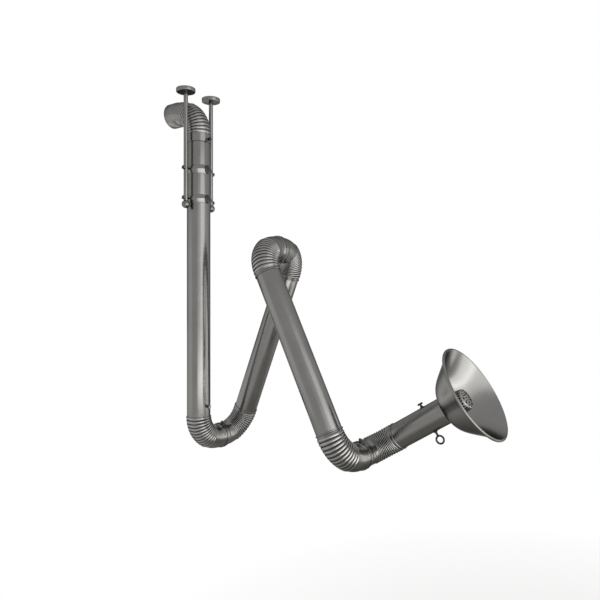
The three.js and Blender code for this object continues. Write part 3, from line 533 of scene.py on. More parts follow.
# %% [markdown]
# ## Ribbed elbows
# A real elbow starts as a plain tube. A press folds ribs into it one after another, and each fold turns
# the tube a few degrees, so ribs are wide on the outside of the bend and crowded in its throat. The tree
# does the same: it swells the outer skin in waves along the blank and then lays the blank round a quarter
# circle. It also stores the rib shading of each point, from 1 on a crest to -1 in a groove, which the steel
# turns into a painted highlight on the crests and a painted shade in the grooves.

# %% Tree of a ribbed elbow: the ribs
BEND_RADIUS, RIB_COUNT, RIB_SPAN = 120, 11, 64
RIB_CREST, RIB_VALLEY = 58.7, 55.6
BEND_LENGTH = BEND_RADIUS * math.pi / 2
RIB_LENGTH = BEND_RADIUS * math.radians(RIB_SPAN)
MATH = "ShaderNodeMath"

bend, sizes = new_tree("ribbed_bend", bend_radius=float(BEND_RADIUS), rib_count=RIB_COUNT,
                       rib_length=RIB_LENGTH, rib_height=RIB_CREST - RIB_VALLEY, rib_fold=0.55)
at = add(bend, "ShaderNodeSeparateXYZ", {0: add(bend, "GeometryNodeInputPosition")})
ribbed = add(bend, "ShaderNodeClamp", {0: at.outputs["Z"], 1: 0.0, 2: sizes.outputs["rib_length"]})
part = add(bend, MATH, {0: ribbed, 1: sizes.outputs["rib_length"]}, operation="DIVIDE")
folds = add(bend, MATH, {0: part, 1: sizes.outputs["rib_count"]}, operation="MULTIPLY")
phase = add(bend, MATH, {0: folds, 1: 2 * math.pi}, operation="MULTIPLY")
swing = add(bend, MATH, {0: phase}, operation="COSINE")
soft_wave = add(bend, MATH, {0: swing, 1: -0.5, 2: 0.5}, operation="MULTIPLY_ADD")
wave = add(bend, MATH, {0: soft_wave, 1: sizes.outputs["rib_fold"]}, operation="POWER")
tall = add(bend, MATH, {0: wave, 1: sizes.outputs["rib_height"]}, operation="MULTIPLY")
inner = add(bend, "GeometryNodeInputNamedAttribute", {0: "inside"}, data_type="FLOAT")
outer = add(bend, MATH, {0: 1.0, 1: inner}, operation="SUBTRACT")
swell = add(bend, MATH, {0: tall, 1: outer}, operation="MULTIPLY")
print("ribs over", round(RIB_LENGTH), "of", round(BEND_LENGTH), "mm along the middle of the bend")

# %% Tree of a ribbed elbow: the bend
R = sizes.outputs["bend_radius"]
flat = add(bend, "ShaderNodeCombineXYZ", {0: at.outputs["X"], 1: at.outputs["Y"]})
radius = add(bend, "ShaderNodeVectorMath", {0: flat}, operation="LENGTH").outputs["Value"]
gain = add(bend, MATH, {0: swell, 1: radius}, operation="DIVIDE")
grow = add(bend, MATH, {0: gain, 1: 1.0}, operation="ADD")
x = add(bend, MATH, {0: at.outputs["X"], 1: grow}, operation="MULTIPLY")
out = add(bend, MATH, {0: at.outputs["Y"], 1: grow, 2: R}, operation="MULTIPLY_ADD")
raw = add(bend, MATH, {0: at.outputs["Z"], 1: R}, operation="DIVIDE")
angle = add(bend, "ShaderNodeClamp", {0: raw, 1: 0.0, 2: math.pi / 2})
bent = add(bend, MATH, {0: angle, 1: R}, operation="MULTIPLY")
straight = add(bend, MATH, {0: at.outputs["Z"], 1: bent}, operation="SUBTRACT")
cosine = add(bend, MATH, {0: angle}, operation="COSINE")
sine = add(bend, MATH, {0: angle}, operation="SINE")
ahead_y = add(bend, MATH, {0: straight, 1: sine, 2: R}, operation="MULTIPLY_ADD")
back_y = add(bend, MATH, {0: out, 1: cosine}, operation="MULTIPLY")
y = add(bend, MATH, {0: ahead_y, 1: back_y}, operation="SUBTRACT")
down_z = add(bend, MATH, {0: straight, 1: cosine}, operation="MULTIPLY")
fall = add(bend, MATH, {0: out, 1: sine, 2: down_z}, operation="MULTIPLY_ADD")
z = add(bend, MATH, {0: R, 1: fall}, operation="SUBTRACT")
new_place = add(bend, "ShaderNodeCombineXYZ", {0: x, 1: y, 2: z})
print("a quarter circle of", BEND_RADIUS, "mm")

# %% Tree of a ribbed elbow: the rib shading for a painted highlight and shade
RIBS_START, RIBS_END = 0.001, 0.999  # share of the ribbed length that gets the rib shading, just inside its ends

after_start = add(bend, MATH, {0: part, 1: RIBS_START}, operation="GREATER_THAN")
before_end = add(bend, MATH, {0: part, 1: RIBS_END}, operation="LESS_THAN")
on_ribs = add(bend, MATH, {0: after_start, 1: before_end}, operation="MULTIPLY")
outer_ribs = add(bend, MATH, {0: on_ribs, 1: outer}, operation="MULTIPLY")
crest_or_groove = add(bend, MATH, {0: wave, 1: 2.0, 2: -1.0}, operation="MULTIPLY_ADD")
# the rib shading, for a painted highlight on crests and a painted shade in grooves
rib_shading = add(bend, MATH, {0: crest_or_groove, 1: outer_ribs}, operation="MULTIPLY")
marked = add(bend, "GeometryNodeStoreNamedAttribute",
             {0: sizes.outputs["Blank"], "Name": "rib_shading", "Value": rib_shading}, data_type="FLOAT", domain="POINT")
laid = add(bend, "GeometryNodeSetPosition", {0: marked, "Position": new_place})
end_tree(bend, sizes, laid)

# %% [markdown]
# ## Ends of an elbow
# Each elbow has a tube end and a swivel end. A cuff takes a tube, with a rolled lip at its mouth; a
# sleeve goes inside the riser; the slip collar lets the riser turn. At the other end a spigot turns in
# the socket of the next elbow, and the outlet is plain, for the building's duct. Points are (radius,
# place along the tube).

# %% Shapes of the ends
LIP_RADIUS, CUFF_BORE, CUFF_LENGTH = 58.6, 55.3, 14
SLEEVE_RADIUS, SLEEVE_BORE, SLEEVE_LENGTH = 53.2, 51.6, 66
COLLAR_RADIUS, COLLAR_BORE, COLLAR_LENGTH = 58.49, 56.49, 39.5
SPIGOT_RADIUS, SPIGOT_BORE, SPIGOT_LENGTH = 54, 52.4, 41
SHOULDER_RADIUS, SHOULDER_LENGTH = 57.4, 20  # where the spigot's elbow meets the mouth of the socket
SOCKET_RADIUS, SOCKET_BORE, SOCKET_LENGTH = 58.87, 57.07, 24.4
OUTLET_RADIUS, OUTLET_BORE, OUTLET_LENGTH = 58, 56, 57

TUBE_ENDS = {
    "cuff": ([(57.2, -CUFF_LENGTH), (LIP_RADIUS, -12.6), (LIP_RADIUS, -8.4), (57.0, -6.6),
              (RIB_VALLEY, -5.4)],
             [(CUFF_BORE, -1.5), (CUFF_BORE, -CUFF_LENGTH)]),
    "sleeve": ([(SLEEVE_RADIUS, -SLEEVE_LENGTH), (SLEEVE_RADIUS, -0.3), (RIB_VALLEY, -0.3)],
               [(SLEEVE_BORE, -1.5), (SLEEVE_BORE, -SLEEVE_LENGTH)]),
    "slip_collar": ([(57.6, -COLLAR_LENGTH), (COLLAR_RADIUS, -38.6), (COLLAR_RADIUS, -2.6), (57.6, -1.2),
                     (RIB_VALLEY, -0.4)],
                    [(COLLAR_BORE, -5.9), (COLLAR_BORE, -COLLAR_LENGTH)]),
}
SWIVEL_ENDS = {
    "spigot": ([(RIB_VALLEY, 2), (56.6, 4), (SHOULDER_RADIUS, 7), (SHOULDER_RADIUS, 18.8),
                (56.6, SHOULDER_LENGTH), (SPIGOT_RADIUS, SHOULDER_LENGTH), (SPIGOT_RADIUS, SPIGOT_LENGTH)],
               [(SPIGOT_BORE, SPIGOT_LENGTH), (SPIGOT_BORE, SHOULDER_LENGTH)]),
    "socket": ([(RIB_VALLEY, 0.5), (57.4, 1.6), (58.5, 3.2), (SOCKET_RADIUS, 5), (SOCKET_RADIUS, 23.8),
                (58.3, SOCKET_LENGTH)],
               [(SOCKET_BORE, SOCKET_LENGTH), (SOCKET_BORE, 2.2)]),
    "outlet": ([(RIB_VALLEY, 0.4), (57.2, 1.6), (OUTLET_RADIUS, 4), (OUTLET_RADIUS, 56),
                (57.4, OUTLET_LENGTH)],
               [(56.2, OUTLET_LENGTH), (OUTLET_BORE, 5)]),
}
print(len(TUBE_ENDS), "tube ends and", len(SWIVEL_ENDS), "swivel ends")

# %% Elbows
ELBOW_BORE = 54.4
RINGS_PER_RIB, PLAIN_RINGS, BORE_RINGS = 12, 14, 24
BOSS_RADIUS, BOSS_BORE = 7, 3.4
LOCK_REACH = -PIVOTS["riser_lock_turn"][2] - OUTLET_DROP  # from where the elbow's axes cross


def elbow_blank(name, tube_end, swivel_end):
    """A straight tube with both ends formed, closely ringed where the ribs and the bend will be."""
    outside, inside = TUBE_ENDS[tube_end]
    swivel_outside, swivel_inside = SWIVEL_ENDS[swivel_end]
    ribs, plain = RIB_COUNT * RINGS_PER_RIB, (BEND_LENGTH - RIB_LENGTH) / PLAIN_RINGS
    outer = outside + [(RIB_VALLEY, RIB_LENGTH * k / ribs) for k in range(ribs + 1)]
    outer += [(RIB_VALLEY, RIB_LENGTH + plain * k) for k in range(1, PLAIN_RINGS + 1)]
    outer += [(r, BEND_LENGTH + along) for r, along in swivel_outside]
    bore = [(r, BEND_LENGTH + along) for r, along in swivel_inside]
    bore += [(ELBOW_BORE, BEND_LENGTH * (1 - k / BORE_RINGS)) for k in range(BORE_RINGS + 1)]
    return mark_inside(turned(name, outer + bore + inside, sides=56))


def boss(name, foot, height):
    """A short threaded boss about Z that a thumb screw goes through."""
    return turned(name, rounded(square(BOSS_BORE, BOSS_RADIUS, foot, height), 0.8), sides=28)


def joined(piece, *others):
    """One piece from several closed shells, as a welded boss is one with its tube."""
    shells = bmesh.new()
    for part in (piece, *others):
        shells.from_mesh(part.data)
    shells.to_mesh(piece.data)
    shells.free()
    for part in others:
        bpy.data.objects.remove(part)
    return piece


ELBOWS = [
    ("outlet_elbow", "slip_collar", "outlet", OUTLET, "ceiling_hanger"),
    ("riser_elbow", "sleeve", "spigot", RISER_FOOT, "riser"),
    ("lower_arm_foot_elbow", "cuff", "socket", LOWER_FOOT, "lower_arm"),
    ("lower_arm_head_elbow", "cuff", "spigot", LOWER_HEAD, "lower_arm"),
    ("upper_arm_head_elbow", "cuff", "socket", UPPER_HEAD, "upper_arm"),
    ("upper_arm_wrist_elbow", "cuff", "spigot", UPPER_FOOT, "upper_arm"),
    ("hood_elbow", "cuff", "socket", HOOD_FOOT, "hood"),
]
for name, tube_end, swivel_end, place, body in ELBOWS:
    elbow = work(elbow_blank(name + "_skin", tube_end, swivel_end), bend, "satin_stainless")
    if tube_end == "slip_collar":
        lock_boss = boss("lock_boss", foot=56.6, height=64.4)
        lock_boss.data.transform(move(0, 0, LOCK_REACH) @ turn(90, "X"))
        elbow = joined(elbow, lock_boss)
    fit(elbow, place, body, "satin_stainless", name)

# %% [markdown]
# ## Tubes
# The tubes are rolled from sheet and welded, with a wall of 1.5 mm. Their ends are deburred, so each has a
# small rounded edge. The riser carries the boss of the screw that holds the elbow at its foot.

# %% Tubes
TUBE_RADIUS, TUBE_BORE, TUBE_RINGS = 55, 53.5, 6
TUBE_INSET = 121.8  # from a swivel's axis to the end of the tube
HOOD_TUBE_END = 400
RISER_TOP, RISER_LOW = -208, -1517.7
SLEEVE_SCREW_DROP = -PIVOTS["sleeve_lock_turn"][2]


def plain_tube(name, low, high):
    """A tube about Z, with small rounded edges at both ends."""
    heights = [low + (high - low) * k / TUBE_RINGS for k in range(TUBE_RINGS + 1)]
    outside = [(TUBE_RADIUS, height) for height in heights]
    inside = [(TUBE_BORE, height) for height in heights]
    return mark_inside(turned(name, rounded(outside + inside[::-1], 0.5)))


riser = plain_tube("riser_tube_skin", RISER_LOW, RISER_TOP)
sleeve_boss = boss("sleeve_boss", foot=53.6, height=60.9)
sleeve_boss.data.transform(move(0, 0, -SLEEVE_SCREW_DROP) @ turn(90, "Y"))
fit(joined(riser, sleeve_boss), HANGER, "riser", "satin_stainless", "riser_tube")
fit(plain_tube("lower_arm_tube_skin", TUBE_INSET, LOWER_ARM_LENGTH - TUBE_INSET),
    LOWER_ARM, "lower_arm", "satin_stainless", "lower_arm_tube")
fit(plain_tube("upper_arm_tube_skin", TUBE_INSET - UPPER_ARM_LENGTH, -TUBE_INSET),
    UPPER_ARM, "upper_arm", "satin_stainless", "upper_arm_tube")
fit(plain_tube("hood_tube_skin", TUBE_INSET, HOOD_TUBE_END), HOOD, "hood", "satin_stainless", "hood_tube")

# %% [markdown]
# ## Swivel fittings
# Under each seam a white slip ring carries the turning spigot, and a clamp band on the socket sets how
# stiff the swivel is. The band is a strip bent round the socket, with its ends folded double into ears. A
# strip that follows a path is drawn by moving a small rounded section along it.

# %% Slip rings and clamp bands
SLIP_BORE, SLIP_RADIUS, SLIP_START, SLIP_END = 55.47, 56.77, 126.9, 142.9
BAND_BORE, BAND_THICKNESS, BAND_WIDTH, BAND_MIDDLE = 59.17, 1.5, 11, 138.9
BAND_STEPS = 90  # round the socket
EAR_TOP, EAR_OPENING = 71.6, 9.0  # the hoop starts this far to each side of the screw's middle


def strip(name, path, width, thickness):
    """A flat strip bent along a path of (x, z) points, as wide along Y as given."""
    flat, tip, soft = width / 2, thickness / 2, thickness / 5
    section = [(-tip, -flat + soft), (-tip + soft, -flat), (tip - soft, -flat), (tip, -flat + soft),
               (tip, flat - soft), (tip - soft, flat), (-tip + soft, flat), (-tip, flat - soft)]
    first, last = [[(x, 0, z)] * len(section) for x, z in (path[0], path[-1])]
    rings = [first]
    for index, (x, z) in enumerate(path):
        before, after = path[max(index - 1, 0)], path[min(index + 1, len(path) - 1)]
        ahead = Vector((after[0] - before[0], after[1] - before[1])).normalized()
        rings.append([(x - ahead.y * out, across, z + ahead.x * out) for out, across in section])
    return skin(name, rings + [last])


hoop = BAND_BORE + BAND_THICKNESS / 2
ear = [(5.25, hoop + 1.6), (5.25, EAR_TOP - 1.6), (5.5, EAR_TOP - 0.95), (6.0, EAR_TOP - 0.75),
       (6.5, EAR_TOP - 0.95), (6.75, EAR_TOP - 1.6), (6.75, hoop + 1.0), (7.2, hoop - 0.1)]
start = math.asin(EAR_OPENING / hoop)
arc = [start + (2 * math.pi - 2 * start) * step / BAND_STEPS for step in range(BAND_STEPS + 1)]
round_part = [(hoop * math.sin(a), hoop * math.cos(a)) for a in arc]
band_path = ear + round_part + [(-x, z) for x, z in reversed(ear)]

SWIVELS = [("lower", LOWER_FOOT, 0, "lower_arm"), ("upper", UPPER_HEAD, 0, "upper_arm"),
           ("wrist", HOOD_FOOT, 45, "hood")]
for swivel, place, band_turn, body in SWIVELS:
    slip_outline = rounded(square(SLIP_BORE, SLIP_RADIUS, SLIP_START, SLIP_END), 0.4)
    ring = turned(swivel + "_slip_ring_skin", slip_outline)
    fit(ring, place @ turn(-90, "X"), body, "white_slip_plastic", swivel + "_swivel_slip_ring")
    band = strip(swivel + "_clamp_band_skin", band_path, BAND_WIDTH, BAND_THICKNESS)
    fit(band, place @ turn(band_turn, "Y") @ move(0, BAND_MIDDLE, 0), body, "satin_stainless",
        swivel + "_swivel_clamp_band")

# %% [markdown]
# ## Knurled screws
# Two thumb screws lock the riser and the sleeve, and a small screw draws each clamp band together. All
# are turned from a bar and knurled for grip. The tree stands straight ridges round a turned head, which
# is what a knurling wheel leaves.

# %% Tree that knurls a head
knurl, sizes = new_tree("knurled_head", ridge_count=24, head_radius=7.4, ridge_width=1.2, head_start=0.0,
                        head_length=10.0)
ridge = add(knurl, "GeometryNodeMeshCylinder", {"Vertices": 6, "Side Segments": 1,
                                                "Radius": sizes.outputs["ridge_width"],
                                                "Depth": sizes.outputs["head_length"]})
round_head = add(knurl, "GeometryNodeMeshCircle",
                 {0: sizes.outputs["ridge_count"], 1: sizes.outputs["head_radius"]})
stood = add(knurl, "GeometryNodeInstanceOnPoints", {"Points": round_head, "Instance": ridge})
half = add(knurl, MATH, {0: sizes.outputs["head_length"], 1: 0.5, 2: sizes.outputs["head_start"]},
           operation="MULTIPLY_ADD")
lift = add(knurl, "ShaderNodeCombineXYZ", {2: half})
raised = add(knurl, "GeometryNodeTransform", {0: stood, "Translation": lift})
both = add(knurl, "GeometryNodeJoinGeometry", {0: sizes.outputs["Blank"]})
knurl.links.new(raised.outputs[0], both.inputs[0])
end_tree(knurl, sizes, both)

# %% Screws
THUMB_SHANK, THUMB_HEAD, THUMB_LENGTH = 3, 8, 10
CLAMP_SHANK, CLAMP_HEAD, CLAMP_LENGTH, CLAMP_HEIGHT = 2.5, 6, 9, 66.17
RIDGE_DEPTH, RIDGE_WIDTH, HEAD_MARGIN, DISH = 0.6, 0.7, 1.0, 0.7


def screw(name, finish, shank, tip, head, head_start, head_length):
    """A knurled screw about Z with a dish in its head. Its ridges reach the head's full radius."""
    core, top = head - RIDGE_DEPTH, head_start + head_length
    outline = [(0, tip), (shank, tip), (shank, head_start), (core, head_start), (core, top),
               (core * 0.55, top), (core * 0.45, top - DISH), (0, top - DISH)]
    plain = turned(name, rounded(outline, 0.8), sides=40)
    return work(plain, knurl, finish, ridge_count=round(head * 3), head_radius=core - 0.1,
                ridge_width=RIDGE_WIDTH, head_start=head_start + HEAD_MARGIN,
                head_length=head_length - 2 * HEAD_MARGIN)


lock_screw = screw("riser_lock_screw_skin", "dark_zinc_steel", THUMB_SHANK, 55.4, THUMB_HEAD, 67.37,
                   THUMB_LENGTH)
fit(lock_screw, OUTLET @ move(0, 0, LOCK_REACH) @ turn(90, "X"), "riser_lock", "dark_zinc_steel",
    "riser_lock_screw")
sleeve_screw = screw("sleeve_screw_skin", "polished_stainless", THUMB_SHANK, 52.5, THUMB_HEAD, 63.94,
                     THUMB_LENGTH)
fit(sleeve_screw, move(0, 0, -SLEEVE_SCREW_DROP) @ turn(90, "Y"), "sleeve_lock", "dark_zinc_steel",
    "sleeve_screw")
for swivel, place, band_turn, body in SWIVELS:
    clamp_screw = screw(swivel + "_clamp_screw_skin", "polished_stainless", CLAMP_SHANK, -11.5, CLAMP_HEAD,
                        7.8, CLAMP_LENGTH)
    fit(clamp_screw, place @ turn(band_turn, "Y") @ move(0, BAND_MIDDLE, CLAMP_HEIGHT) @ turn(90, "Y"),
        swivel + "_clamp", "dark_zinc_steel", swivel + "_swivel_clamp_screw")

# %% [markdown]
# ## Ceiling hanger
# Two discs are bolted to the ceiling. A rod drops from each, and a ball closes it. Studs through the rods
# carry two guide rings. All of this comes in pairs, at one or two levels, so one tree sets a piece on its
# levels at the front and turns a copy half round for the rear.

# %% Tree that sets pieces on both rods
pairs, sizes = new_tree("both_rods", level_count=1, first_level=0.0, level_pitch=138.0)
top = add(pairs, "ShaderNodeCombineXYZ", {2: sizes.outputs["first_level"]})
fall = add(pairs, MATH, {0: sizes.outputs["level_pitch"], 1: -1.0}, operation="MULTIPLY")
levels = add(pairs, "GeometryNodeMeshLine", {"Count": sizes.outputs["level_count"], "Start Location": top,
                                             "Offset": add(pairs, "ShaderNodeCombineXYZ", {2: fall})})
front = add(pairs, "GeometryNodeInstanceOnPoints", {"Points": levels, "Instance": sizes.outputs["Blank"]})
rear = add(pairs, "GeometryNodeTransform", {0: front, "Rotation": (0, 0, math.pi)})
both = add(pairs, "GeometryNodeJoinGeometry", {0: front})
pairs.links.new(rear.outputs[0], both.inputs[0])
end_tree(pairs, sizes, both)

# %% Discs, rods, balls, studs and nuts
DISC_RADIUS, DISC_THICKNESS = 44, 18
ROD_OFFSET, ROD_RADIUS, ROD_LOW, ROD_TOP, ROD_RINGS = 82.5, 10, -534.4, -7.3, 6
BALL_RADIUS, BALL_DROP = 19, 532
GUIDES = (-365, -503)  # heights of the guide rings
STUD_RADIUS, STUD_START, STUD_END = 5, 61.2, 103.8
NUT_WIDTH, NUT_BORE, NUT_START, NUT_END, NUT_CHAMFER = 17, 5.1, 92.8, 100.8, 1.2


def hang(piece, place, finish, nodes, first_level=0, levels=1):
    """Sets a piece of the hanger on both rods, from its place on the front one."""
    piece.data.transform(place)
    work(piece, pairs, finish, level_count=levels, first_level=float(first_level))
    fit(piece, HANGER, "ceiling_hanger", finish, *nodes)


on_rod = move(0, -ROD_OFFSET, 0)
across = turn(90, "X")  # from the riser's axis out to the front rod
SIDES = ("front", "rear")
PLACES = [level + "_" + side for level in ("upper", "lower") for side in SIDES]

disc = rounded(square(0, DISC_RADIUS, -DISC_THICKNESS, 0), 4, steps=6)
hang(turned("ceiling_discs", disc), on_rod, "satin_stainless", ["ceiling_disc_" + side for side in SIDES])
rod = [(ROD_RADIUS, ROD_LOW + (ROD_TOP - ROD_LOW) * k / ROD_RINGS) for k in range(ROD_RINGS + 1)]
hang(turned("hanger_rods", [(0, ROD_LOW)] + rod + [(0, ROD_TOP)], sides=32), on_rod, "satin_stainless",
     ["hanger_rod_" + side for side in SIDES])
ball = [(BALL_RADIUS * y, -BALL_RADIUS * x) for x, y in compass(48)[:25]]
ball[0], ball[-1] = (0, -BALL_RADIUS), (0, BALL_RADIUS)
hang(turned("rod_end_balls", ball, sides=48), on_rod @ move(0, 0, -BALL_DROP), "polished_stainless",
     ["rod_end_ball_" + side for side in SIDES])

stud = rounded(square(0, STUD_RADIUS, STUD_START, STUD_END), 1.0)
hang(turned("guide_studs", stud, sides=24), across, "dark_zinc_steel",
     ["guide_stud_" + place for place in PLACES], GUIDES[0], 2)


def hex_nut(name, width, bore, low, high, sides=48):
    """A hexagon nut about Z, its corners turned off at both ends."""
    ways = [2 * math.pi * k / sides for k in range(sides)]
    flat = [width / 2 / math.cos((a + math.pi / 6) % (math.pi / 3) - math.pi / 6) for a in ways]
    circle, hole = [width / 2 * 0.97] * sides, [bore] * sides
    rows = [(hole, low), (circle, low), (flat, low + NUT_CHAMFER), (flat, high - NUT_CHAMFER),
            (circle, high), (hole, high)]
    rings = [[(r * x, r * y, z) for r, (x, y) in zip(row, compass(sides))] for row, z in rows]
    return skin(name, rings, loop=True)


hang(hex_nut("guide_nuts", NUT_WIDTH, NUT_BORE, NUT_START, NUT_END), across, "polished_stainless",
     ["guide_nut_" + place for place in PLACES], GUIDES[0], 2)

# %% [markdown]
# ## Guide rings
# A guide ring is pressed from strip to a shallow V, and its upper and lower edge hold the riser so that
# it can turn. The ridge of the V is crisp, so each ring shows a dark flank above a bright one. A round
# nylon cap covers the screw that closes the ring. Its back follows the ring, so it is drawn point by
# point from the ring's own shape.

# %% Rings, caps and the seal
GUIDE_HALF, RING_EDGE, RING_RIDGE = 20.5, 56.4, 62.9
EDGE_BORE, RIDGE_BORE = 55.4, 60.9
CAP_RADIUS, CAP_RIM, CAP_CROWN, CAP_GAP = 20, 61, 66.2, 0.1
SEAL_BORE, SEAL_RADIUS, SEAL_LOW, SEAL_TOP = 52.69, 56.19, -207.7, -202.7


def on_ring(y, z):
    """How far out along X the surface of a guide ring lies."""
    radius = RING_RIDGE - (RING_RIDGE - RING_EDGE) * abs(z) / GUIDE_HALF
    return math.sqrt(radius ** 2 - y ** 2)


def guide_cap(name):
    """A round cap on the side of the ring that faces +X."""
    ways, steps = compass(48), range(0, CAP_RADIUS + 1, 5)
    back = [[(on_ring(r * y, r * z) + CAP_GAP, r * y, r * z) for y, z in ways] for r in steps]
    domes = [math.radians(15 * step) for step in range(7)]
    face = [(CAP_RADIUS * math.cos(dome), CAP_RIM + (CAP_CROWN - CAP_RIM) * math.sin(dome)) for dome in domes]
    return skin(name, back + [[(x, r * y, r * z) for y, z in ways] for r, x in face])


for level, middle in zip(("upper", "lower"), GUIDES):
    v_shape = [(EDGE_BORE, -GUIDE_HALF), (RING_EDGE, -GUIDE_HALF), (RING_RIDGE, 0), (RING_EDGE, GUIDE_HALF),
               (EDGE_BORE, GUIDE_HALF), (RIDGE_BORE, 0)]
    guide_ring = turned("guide_ring_" + level + "_skin", rounded(v_shape, 0.6), sides=96)
    fit(guide_ring, move(0, 0, middle), "ceiling_hanger", "satin_stainless", "guide_ring_" + level)
    fit(guide_cap("guide_cap_" + level + "_skin"), move(0, 0, middle), "ceiling_hanger", "black_nylon",
        "guide_cap_" + level)
seal = rounded(square(SEAL_BORE, SEAL_RADIUS, SEAL_LOW, SEAL_TOP), 1)
fit(turned("riser_top_seal_skin", seal), HANGER, "ceiling_hanger", "black_rubber", "riser_top_seal")

# %% [markdown]
# ## Hood bowl
# The bowl is spun from one sheet over a wooden form: a flat back, a soft shoulder and a flare, with the
# rim turned out and rolled so that it is stiff and has no sharp edge. One curve gives the outside, and
# the wall follows it inside.

# %% Bowl
BOWL_START, BOWL_WALL, RIM_RADIUS, BOWL_DEPTH, BEAD = 392, 1.8, 202, 133, 5
BOWL_STEPS, BEAD_STEPS = 40, 14
BEAD_START, BEAD_ROLL = -150, 240  # degrees
bowl_ends = [Vector(point) for point in ((55.65, 0), (116, 0), (127, 45), (192, 128))]


def bowl_at(share):
    """A point of the bowl's outside and the way that the sheet runs there."""
    row = bowl_ends
    while len(row) > 2:
        row = [a.lerp(b, share) for a, b in zip(row, row[1:])]
    return row[0].lerp(row[1], share), (row[1] - row[0]).normalized()


spun = [bowl_at(step / BOWL_STEPS) for step in range(BOWL_STEPS + 1)]
outside = [tuple(point) for point, way in spun]
inside = [(point.x - BOWL_WALL * way.y, point.y + BOWL_WALL * way.x) for point, way in reversed(spun)]
bead = [math.radians(BEAD_START + BEAD_ROLL * step / BEAD_STEPS) for step in range(BEAD_STEPS + 1)]
lip = [(RIM_RADIUS - BEAD + BEAD * math.cos(a), BOWL_DEPTH - BEAD + BEAD * math.sin(a)) for a in bead]
lip += [(RIM_RADIUS - 8, BOWL_DEPTH), (RIM_RADIUS - 8.6, BOWL_DEPTH - 0.4)]
fit(turned("hood_bowl_skin", outside[:-2] + lip + inside, sides=112), HOOD @ move(0, 0, BOWL_START), "hood",
    "satin_stainless", "hood_bowl")

# %% [markdown]
# ## Guard basket
# The guard keeps rags and fingers out of the duct. It is punched before it is formed: a row of short
# slots round the side and round holes in the end. The tree stands cutters on circles and takes them out
# of a plain basket, so the holes are real and the dark of the duct shows through them.

# %% Tree that punches the basket
GUARD_START, GUARD_NECK, GUARD_END = 384, 400, 480  # along the hood tube
GUARD_RADIUS, GUARD_BORE = 52.1, 50.6
SLOT_DEPTH, DRILL_DEPTH = 50.0, 12.0  # longer than the wall is thick, so that each cut goes through
NEAR_HOLES, FAR_HOLES = 5, 11  # on two circles round a hole in the middle

punch, sizes = new_tree("punched_basket", slot_count=24, slot_width=6.0, slot_length=18.0, slot_middle=463.5,
                        slot_radius=60.0, hole_radius=6.4, near_ring=15.5, far_ring=31.0,
                        end_height=float(GUARD_END))
cutter = add(punch, "ShaderNodeCombineXYZ",
             {0: SLOT_DEPTH, 1: sizes.outputs["slot_width"], 2: sizes.outputs["slot_length"]})
blade = add(punch, "GeometryNodeMeshCube", {"Size": cutter})
ring = add(punch, "GeometryNodeMeshCircle",
           {0: sizes.outputs["slot_count"], 1: sizes.outputs["slot_radius"]})
outward = add(punch, "GeometryNodeInputPosition")
facing = add(punch, "FunctionNodeAlignRotationToVector", {"Vector": outward}, axis="X")
slots = add(punch, "GeometryNodeInstanceOnPoints", {"Points": ring, "Instance": blade, "Rotation": facing})
at_slots = add(punch, "ShaderNodeCombineXYZ", {2: sizes.outputs["slot_middle"]})
slots = add(punch, "GeometryNodeTransform", {0: slots, "Translation": at_slots})
field = add(punch, "GeometryNodeJoinGeometry", {0: add(punch, "GeometryNodeMeshLine", {"Count": 1})})
for count, ring_size in ((NEAR_HOLES, "near_ring"), (FAR_HOLES, "far_ring")):
    ring = add(punch, "GeometryNodeMeshCircle", {0: count, 1: sizes.outputs[ring_size]})
    punch.links.new(ring.outputs[0], field.inputs[0])
drill = add(punch, "GeometryNodeMeshCylinder", {"Vertices": 16, "Side Segments": 1,
                                                "Radius": sizes.outputs["hole_radius"], "Depth": DRILL_DEPTH})
holes = add(punch, "GeometryNodeInstanceOnPoints", {"Points": field, "Instance": drill})
at_end = add(punch, "ShaderNodeCombineXYZ", {2: sizes.outputs["end_height"]})
holes = add(punch, "GeometryNodeTransform", {0: holes, "Translation": at_end})
tools = add(punch, "GeometryNodeJoinGeometry", {0: slots})
punch.links.new(holes.outputs[0], tools.inputs[0])
real_tools = add(punch, "GeometryNodeRealizeInstances", {0: tools})
punched = add(punch, "GeometryNodeMeshBoolean", {"Mesh 1": sizes.outputs["Blank"], "Mesh 2": real_tools},
              operation="DIFFERENCE", solver="EXACT")
end_tree(punch, sizes, punched)

# %% Basket
wall = [(GUARD_RADIUS, GUARD_START), (GUARD_RADIUS, GUARD_NECK), (43, 474), (40.4, 478.6), (37, GUARD_END)]
bore = [(0, GUARD_END - 1), (36.6, 478.5), (39.2, 477.4), (41.6, 473.4), (GUARD_BORE, GUARD_NECK),
        (GUARD_BORE, GUARD_START)]
basket = mark_inside(turned("guard_basket_skin", bore + wall + [(0, GUARD_END)], sides=84))
work(basket, punch, "bright_guard")
fit(basket, HOOD, "hood", "satin_stainless", "guard_basket")

# %% [markdown]
# ## Damper
# A shaft crosses the hood tube in two nylon bushes and carries a round blade. The T knob above turns it,
# and the eye below is for a hook or a hand. Knob and eye are each a turned stem with a rounded bar or a
# bent wire ring on it.

# %% Damper in the tube
BUSH_BORE, BUSH_RADIUS, BUSH_START = 4.63, 6.5, 50.5
FLANGE_RADIUS, FLANGE_START, FLANGE_END = 9.5, 54.24, 56.74
SHAFT_RADIUS, SHAFT_REACH = 4, 63.8
BLADE_RADIUS, BLADE_LOW, BLADE_TOP = 49, 4.3, 5.9
PAN_RADIUS, PAN_PLACE = 3.75, 27  # two small screws hold the blade, this far from its middle

